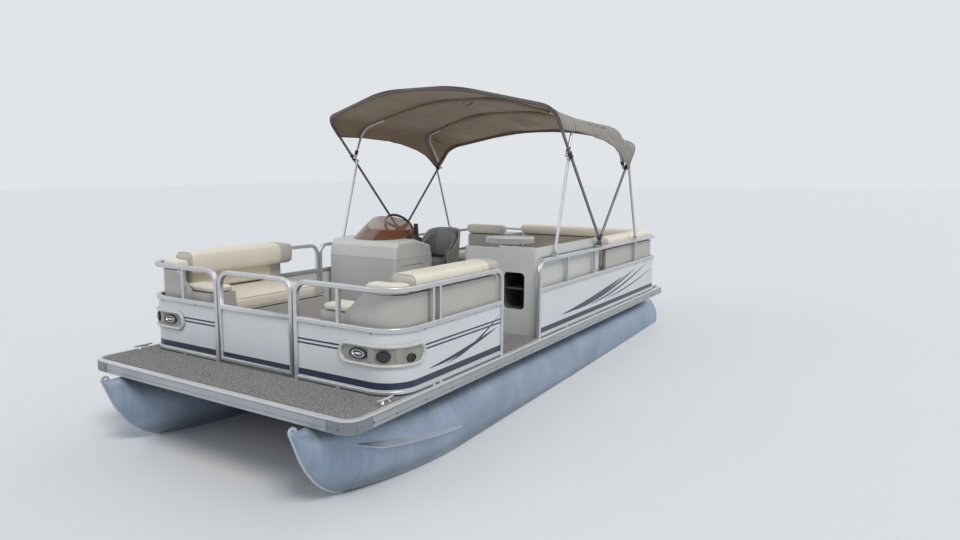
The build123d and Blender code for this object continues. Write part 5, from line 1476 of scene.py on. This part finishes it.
# %% [markdown]
# The crown of every bow runs in a pocket sewn to the cloth, so no metal shows there. The pocket
# has the bow's own form, a little larger, so it is made from the bow's mesh: the crown is cut out
# of a copy and pushed out along its normals, with a slight pucker.

# %% Pockets round the crowns
CROWN_CUTS = [((0, 0.93, 0), (0, 1, 0)), ((0, -0.93, 0), (0, -1, 0))]


def over_height(height):
    """A cut that keeps what is over a height."""
    return [((0, 0, DECK_Z + height), (0, 0, -1))]


def pocket(word, body, cuts, finish="canopy_underside", grow=0.0060):
    """A sleeve round part of a bow: what lies beyond any cut, a point and a normal, goes."""
    work = work_of(f"bimini_{word}_bow")
    for point, normal in cuts:
        cut_along(work, point, normal, 0.00001, clear_outer=True)
    work.normal_update()
    for vertex in work.verts:
        pucker = noise.noise(vertex.co * 22) * 0.0018
        vertex.co += vertex.normal * (grow + pucker)
    sleeve = mesh_piece(f"pocket_{word}", work, body, finish, 60).data
    sleeve.materials.append(FINISHES["canvas_taupe"])
    for face in sleeve.polygons:
        face.material_index = int(face.normal.z > 0.25)


pocket("front", "canopy_front_bow", over_height(1.70), "binding", 0.0030)
pocket("second", "canopy_second_bow", CROWN_CUTS)
pocket("third", "canopy_third_bow", CROWN_CUTS)
pocket("rear", "hull", over_height(1.48), "binding", 0.0030)

# %% [markdown]
# ## Galley
#
# The galley's moulding carries a thin raised wall just over the fence, and inboard of it lies a flat
# shelf level with the worktop. A Boolean takes the thick ledge down to that wall, and a plate closes
# the top: both are cheaper to read than a new moulding, and the cubby and the foot stay as they were.

# %% Shelf behind a thin wall


def boxed(low, high):
    """A box between two corners, as a mesh."""
    work = bmesh.new()
    bmesh.ops.create_cube(work, size=1.0)
    for vertex in work.verts:
        vertex.co = Vector(high[axis] if vertex.co[axis] > 0 else low[axis] for axis in range(3))
    return to_mesh("box", work, turn=False, smooth=False)


def shelf_galley():
    body = new_piece("galley_body", nodes["galley_cabinet"].data.copy(), "hull", None)
    cutter = placed("cutter", boxed(at(3.90, 0.700, 0.655), at(2.376, 1.124, 0.90)))
    modify(body, "cut", "BOOLEAN", operation="DIFFERENCE", object=cutter, solver="EXACT")
    bake_modifiers(body)
    bpy.data.objects.remove(cutter)
    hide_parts("galley_cabinet")
    shelf = new_piece("galley_shelf", boxed(at(3.820, 0.786, 0.6400), at(2.380, 1.122, 0.6565)),
                      "hull", "countertop")
    modify(shelf, "edge", "BEVEL", width=0.004, segments=3)
    bake_modifiers(shelf).shade_smooth()


shelf_galley()

# %% [markdown]
# ## Gate
#
# The gate of the real boat is open between its top rail and its panel. The frame is taken over
# without the two uprights there, and the holes that they leave in the rails are closed.

# %% Gate frame without uprights
UPRIGHT = (0.104, 0.136)  # from the middle, to each side
PANEL_TOP, RAIL_DEPTH = 0.430, 0.05


def open_gate_frame():
    work = work_of("front_gate_frame")
    rail_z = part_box("front_gate_frame")[1][2] - RAIL_DEPTH
    uprights = []
    for face in work.faces:
        middle = face.calc_center_median()
        if UPRIGHT[0] < abs(middle.y) < UPRIGHT[1] and DECK_Z + PANEL_TOP < middle.z < rail_z:
            uprights.append(face)
    bmesh.ops.delete(work, geom=uprights, context="FACES")
    bmesh.ops.holes_fill(work, edges=[edge for edge in work.edges if edge.is_boundary])
    piece = mesh_piece("gate_frame", work, "front_gate", "rail_aluminium", 30)
    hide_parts("front_gate_frame")
    print("gate frame: faces taken out", len(uprights))


open_gate_frame()

# %% [markdown]
# ## Noses of the tubes
#
# Each tube ends in a nose that is welded up from two rolled sheets. From the side its stem is one
# long curve, steep at the tip and almost level where it runs into the keel; a flat bar stiffens it
# and ends in an ear with a towing hole. A fin stands out on the outboard side. The tube itself
# stays as it came, cut at the weld, and the nose is a skin over a table of keel heights: near
# the stem its sections are sharp below, and they turn into the tube's circle at the weld.

# %% Shape of a nose
TUBE_Y, TUBE_R = 0.890, 0.290
NOSE_TIP, NOSE_WELD = -0.122, 1.140
TIP_HALF = 0.006
# station aft of the deck's edge, height of the stem over the keel line
STEM = [(NOSE_TIP, 0.600), (-0.100, 0.545), (-0.045, 0.413), (0.015, 0.312), (0.092, 0.222), (0.190, 0.152),
        (0.270, 0.115), (0.400, 0.082), (0.600, 0.050), (0.850, 0.024), (1.000, 0.015), (NOSE_WELD, 0.010)]
NOSE_TOP = [(NOSE_TIP, 0.601), (0.30, 0.600), (0.80, 0.595), (NOSE_WELD, 0.590)]


def smooth_at(table, value):
    """Reads a table along a curve through its rows."""
    if value <= table[0][0]:
        return table[0][1]
    for index in range(len(table) - 1):
        (x1, y1), (x2, y2) = table[index], table[index + 1]
        if value <= x2:
            x0, y0 = table[max(index - 1, 0)]
            x3, y3 = table[min(index + 2, len(table) - 1)]
            m1 = (y2 - y0) / (x2 - x0)
            m2 = (y3 - y1) / (x3 - x1)
            t, wide = (value - x1) / (x2 - x1), x2 - x1
            return ((2 * t ** 3 - 3 * t * t + 1) * y1 + (t ** 3 - 2 * t * t + t) * wide * m1
                    + (3 * t * t - 2 * t ** 3) * y2 + (t ** 3 - t * t) * wide * m2)
    return table[-1][1]


def nose_section(station, turn):
    """Offset from the tube's middle line and height, at an angle round the section (0 is outboard)."""
    share = min(1.0, (station - NOSE_TIP) / (NOSE_WELD - NOSE_TIP))
    low, high = smooth_at(STEM, station), smooth_at(NOSE_TOP, station)
    half = TIP_HALF + (TUBE_R - TIP_HALF) * (1 - (1 - share) ** 1.9) ** 0.86
    sharp = 1 + ((1 - share) ** 1.3) * (0.9 if math.sin(turn) < 0 else 0.25)
    across = math.copysign(abs(math.cos(turn)) ** sharp, math.cos(turn)) * half
    return across, (low + high) / 2 + math.sin(turn) * (high - low) / 2


def nose_skin(side, around=64, along=72):
    work = bmesh.new()
    rings = []
    for step in range(along + 1):
        station = NOSE_TIP + (NOSE_WELD - NOSE_TIP) * (step / along) ** 1.5
        section = (nose_section(station, 2 * math.pi * index / around) for index in range(around))
        rings.append(ring_of(work, ((BOW_X - station, side * TUBE_Y + out, level) for out, level in section)))
    bridge(work, rings, caps=1)
    return work


# %% [markdown]
# The stem's bar is wider at its foot than at its edge. Its ear is a flat ring, joined to itself.

# %% Stem bar and fin
BAR_REACH, BAR_STEPS = 0.982, 60  # how far aft the bar runs along the stem
BAR_OUT, BAR_IN = 0.007, 0.022  # its edge over the stem's line, its foot under it
EAR = ((0.030, -0.006), (0.030, 0.006), (0.013, 0.006), (0.013, -0.006))  # radius, shift to the side
# station aft, height of the fin's root, distance that it stands out
FIN = [(0.235, 0.457, 0.002), (0.30, 0.446, 0.042), (0.36, 0.436, 0.070), (0.48, 0.417, 0.068),
       (0.64, 0.393, 0.060), (0.80, 0.368, 0.050), (0.98, 0.340, 0.034), (1.150, 0.313, 0.010)]
FIN_SUNK, FIN_THICK, FIN_DROOP = 0.006, 0.005, 0.30


def stem_bar(work, side):
    """The flat bar along the stem, and the ear with its towing hole."""
    middle = Vector((0, side * TUBE_Y, 0))
    stations = [NOSE_TIP + BAR_REACH * (step / BAR_STEPS) ** 1.8 for step in range(BAR_STEPS + 1)]
    line = [Vector((BOW_X - station, 0, smooth_at(STEM, station))) for station in stations]
    rings = []
    for index, point in enumerate(line):
        ahead = heading(line, index).normalized()
        out = Vector((-ahead.z, 0, ahead.x))
        out = out if out.x - out.z > 0 else -out
        edge, foot = point + middle + out * BAR_OUT, point + middle - out * BAR_IN
        rings.append(ring_of(work, [edge + Vector((0, shift, 0)) for shift in (-0.006, 0.006)]
                             + [foot + Vector((0, shift, 0)) for shift in (0.009, -0.009)]))
    bridge(work, rings)
    centre = middle + Vector((BOW_X + 0.100, 0, 0.604))
    loops = []
    for radius, shift in EAR:
        spokes = circle(Vector((1, 0, 0)), Vector((0, 0, 1)), radius, 28)
        loops.append(ring_of(work, (centre + spoke + Vector((0, shift, 0)) for spoke in spokes)))
    bridge(work, loops, closed=True)


def outboard_skin(station, height):
    """How far outboard of the tube's middle line the nose reaches at a height."""
    best = min((nose_section(station, math.radians(turn)) for turn in range(-80, 81, 2)),
               key=lambda spot: abs(spot[1] - height))
    return best[0]


def spray_fin(work, side):
    rings = []
    for station, height, out in FIN:
        root, under = (outboard_skin(station, level) - FIN_SUNK for level in (height, height - 0.03))
        tip, droop = root + FIN_SUNK + out, height - FIN_DROOP * out
        section = ((root, height), (tip, droop), (tip, droop - FIN_THICK), (under, height - 0.030))
        rings.append(ring_of(work, ((BOW_X - station, side * (TUBE_Y + out), level)
                                    for out, level in section)))
    bridge(work, rings)


# %% [markdown]
# The old cone is cut off each tube at the weld, and the new skin takes its place. A flat rib on
# top ties the nose to the deck.

# %% Noses on the tubes
for side, word in SIDES:
    body = work_of(f"pontoon_{word}", merge=0)
    cut_along(body, (BOW_X - NOSE_WELD, 0, 0), (1, 0, 0), 0.00001, clear_outer=True)
    tube = new_piece(f"tube_{word}", to_mesh(f"tube_{word}", body, 30, turn=False), "hull", "tube_aluminium")
    mesh_piece(f"nose_{word}", nose_skin(side), "hull", "tube_aluminium", 50)
    trim = bmesh.new()
    stem_bar(trim, side)
    spray_fin(trim, side)
    bmesh.ops.create_cube(trim, size=1.0, matrix=Matrix.Translation((BOW_X - 0.62, side * TUBE_Y, 0.592))
                          @ Matrix.Diagonal((1.0, 0.008, 0.018, 1)))
    mesh_piece(f"nose_trim_{word}", trim, "hull", "tube_trim", 35)
    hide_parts(f"pontoon_{word}")
print("noses reach", round(BOW_X - NOSE_TIP, 3))

# %% [markdown]
# ## Light, floor and camera
#
# The photograph was taken from the port bow quarter, a little over the height of the rails. The
# floor lies at the height that the boat floats at.

# %% Camera and floor
CAMERA_PLACE = Vector((6.02645, 3.573, 1.974))
YAW, PITCH, ROLL = math.radians(211.04), math.radians(-7.557), math.radians(0.602)
look = Vector((math.cos(YAW) * math.cos(PITCH), math.sin(YAW) * math.cos(PITCH), math.sin(PITCH)))
level = look.cross(Vector((0, 0, 1))).normalized()
upright = level.cross(look)
across = level * math.cos(ROLL) + upright * math.sin(ROLL)
over = upright * math.cos(ROLL) - level * math.sin(ROLL)

lens = bpy.data.cameras.new("view")
lens.lens, lens.sensor_width = 25.33, 36
camera = placed("view", lens)
camera.matrix_world = Matrix.Translation(CAMERA_PLACE) @ Matrix((across, over, -look)).transposed().to_4x4()
bpy.context.scene.camera = camera


def plain_floor():
    """A wide pale plate at the height the boat floats at. It rises aft, as the boat trims by the stern."""
    plate = bmesh.new()
    bmesh.ops.create_grid(plate, x_segments=1, y_segments=1, size=60)
    floor = placed("floor", to_mesh("floor", plate, turn=False, smooth=False))
    floor.location = (BOW_X - 2.2, 0, FLOAT_Z)
    floor.rotation_euler.y = math.radians(1.4)
    finish = Finish("floor", Base_Color=(0.72, 0.73, 0.74), Roughness=0.8, Specular_IOR_Level=0.1)
    floor.data.materials.append(finish.material)


plain_floor()

# %% [markdown]
# The light is that of a bright, slightly hazy day: a broad soft sun from the side where it stood,
# and weaker ones from the other sides, so that the floor is lit evenly as far as it reaches. The
# sky is seen by the camera and in reflections as plain near-white, while the object is lit by a
# quieter value.

# %% Lights and sky


def sun(name, towards, strength, spread, colour=(1, 1, 1)):
    """A distant light that shines along a direction, soft by its spread in degrees."""
    light = bpy.data.lights.new(name, "SUN")
    light.energy, light.angle, light.color = strength, math.radians(spread), colour
    thing = placed(name, light)
    thing.location = (0, 0, 8)
    thing.rotation_euler = Vector(towards).to_track_quat("-Z", "Y").to_euler()


sun("key", (-0.35, -0.62, -0.85), 1.55, 22, (1.0, 0.975, 0.94))
sun("fill", (-0.75, 0.55, -0.45), 0.42, 40, (0.93, 0.96, 1.0))
sun("back", (0.8, -0.1, -0.6), 0.40, 40)

world = bpy.data.worlds.new("sky")
bpy.context.scene.world = world
world.use_nodes = True
sky = world.node_tree
sky.nodes.clear()
seen, lights, ray, either, choose, out = (sky.nodes.new("ShaderNode" + kind) for kind in (
    "Background", "Background", "LightPath", "Math", "MixShader", "OutputWorld"))
seen.inputs["Color"].default_value = (0.76, 0.78, 0.80, 1)
lights.inputs["Color"].default_value = (0.86, 0.92, 1.0, 1)
lights.inputs["Strength"].default_value = 0.55
either.operation = "MAXIMUM"
for source, target in ((ray.outputs["Is Camera Ray"], either.inputs[0]),
                       (ray.outputs["Is Glossy Ray"], either.inputs[1]), (either.outputs[0], choose.inputs[0]),
                       (lights.outputs[0], choose.inputs[1]), (seen.outputs[0], choose.inputs[2]),
                       (choose.outputs[0], out.inputs[0])):
    sky.links.new(source, target)
bpy.context.scene.view_settings.view_transform = "Standard"
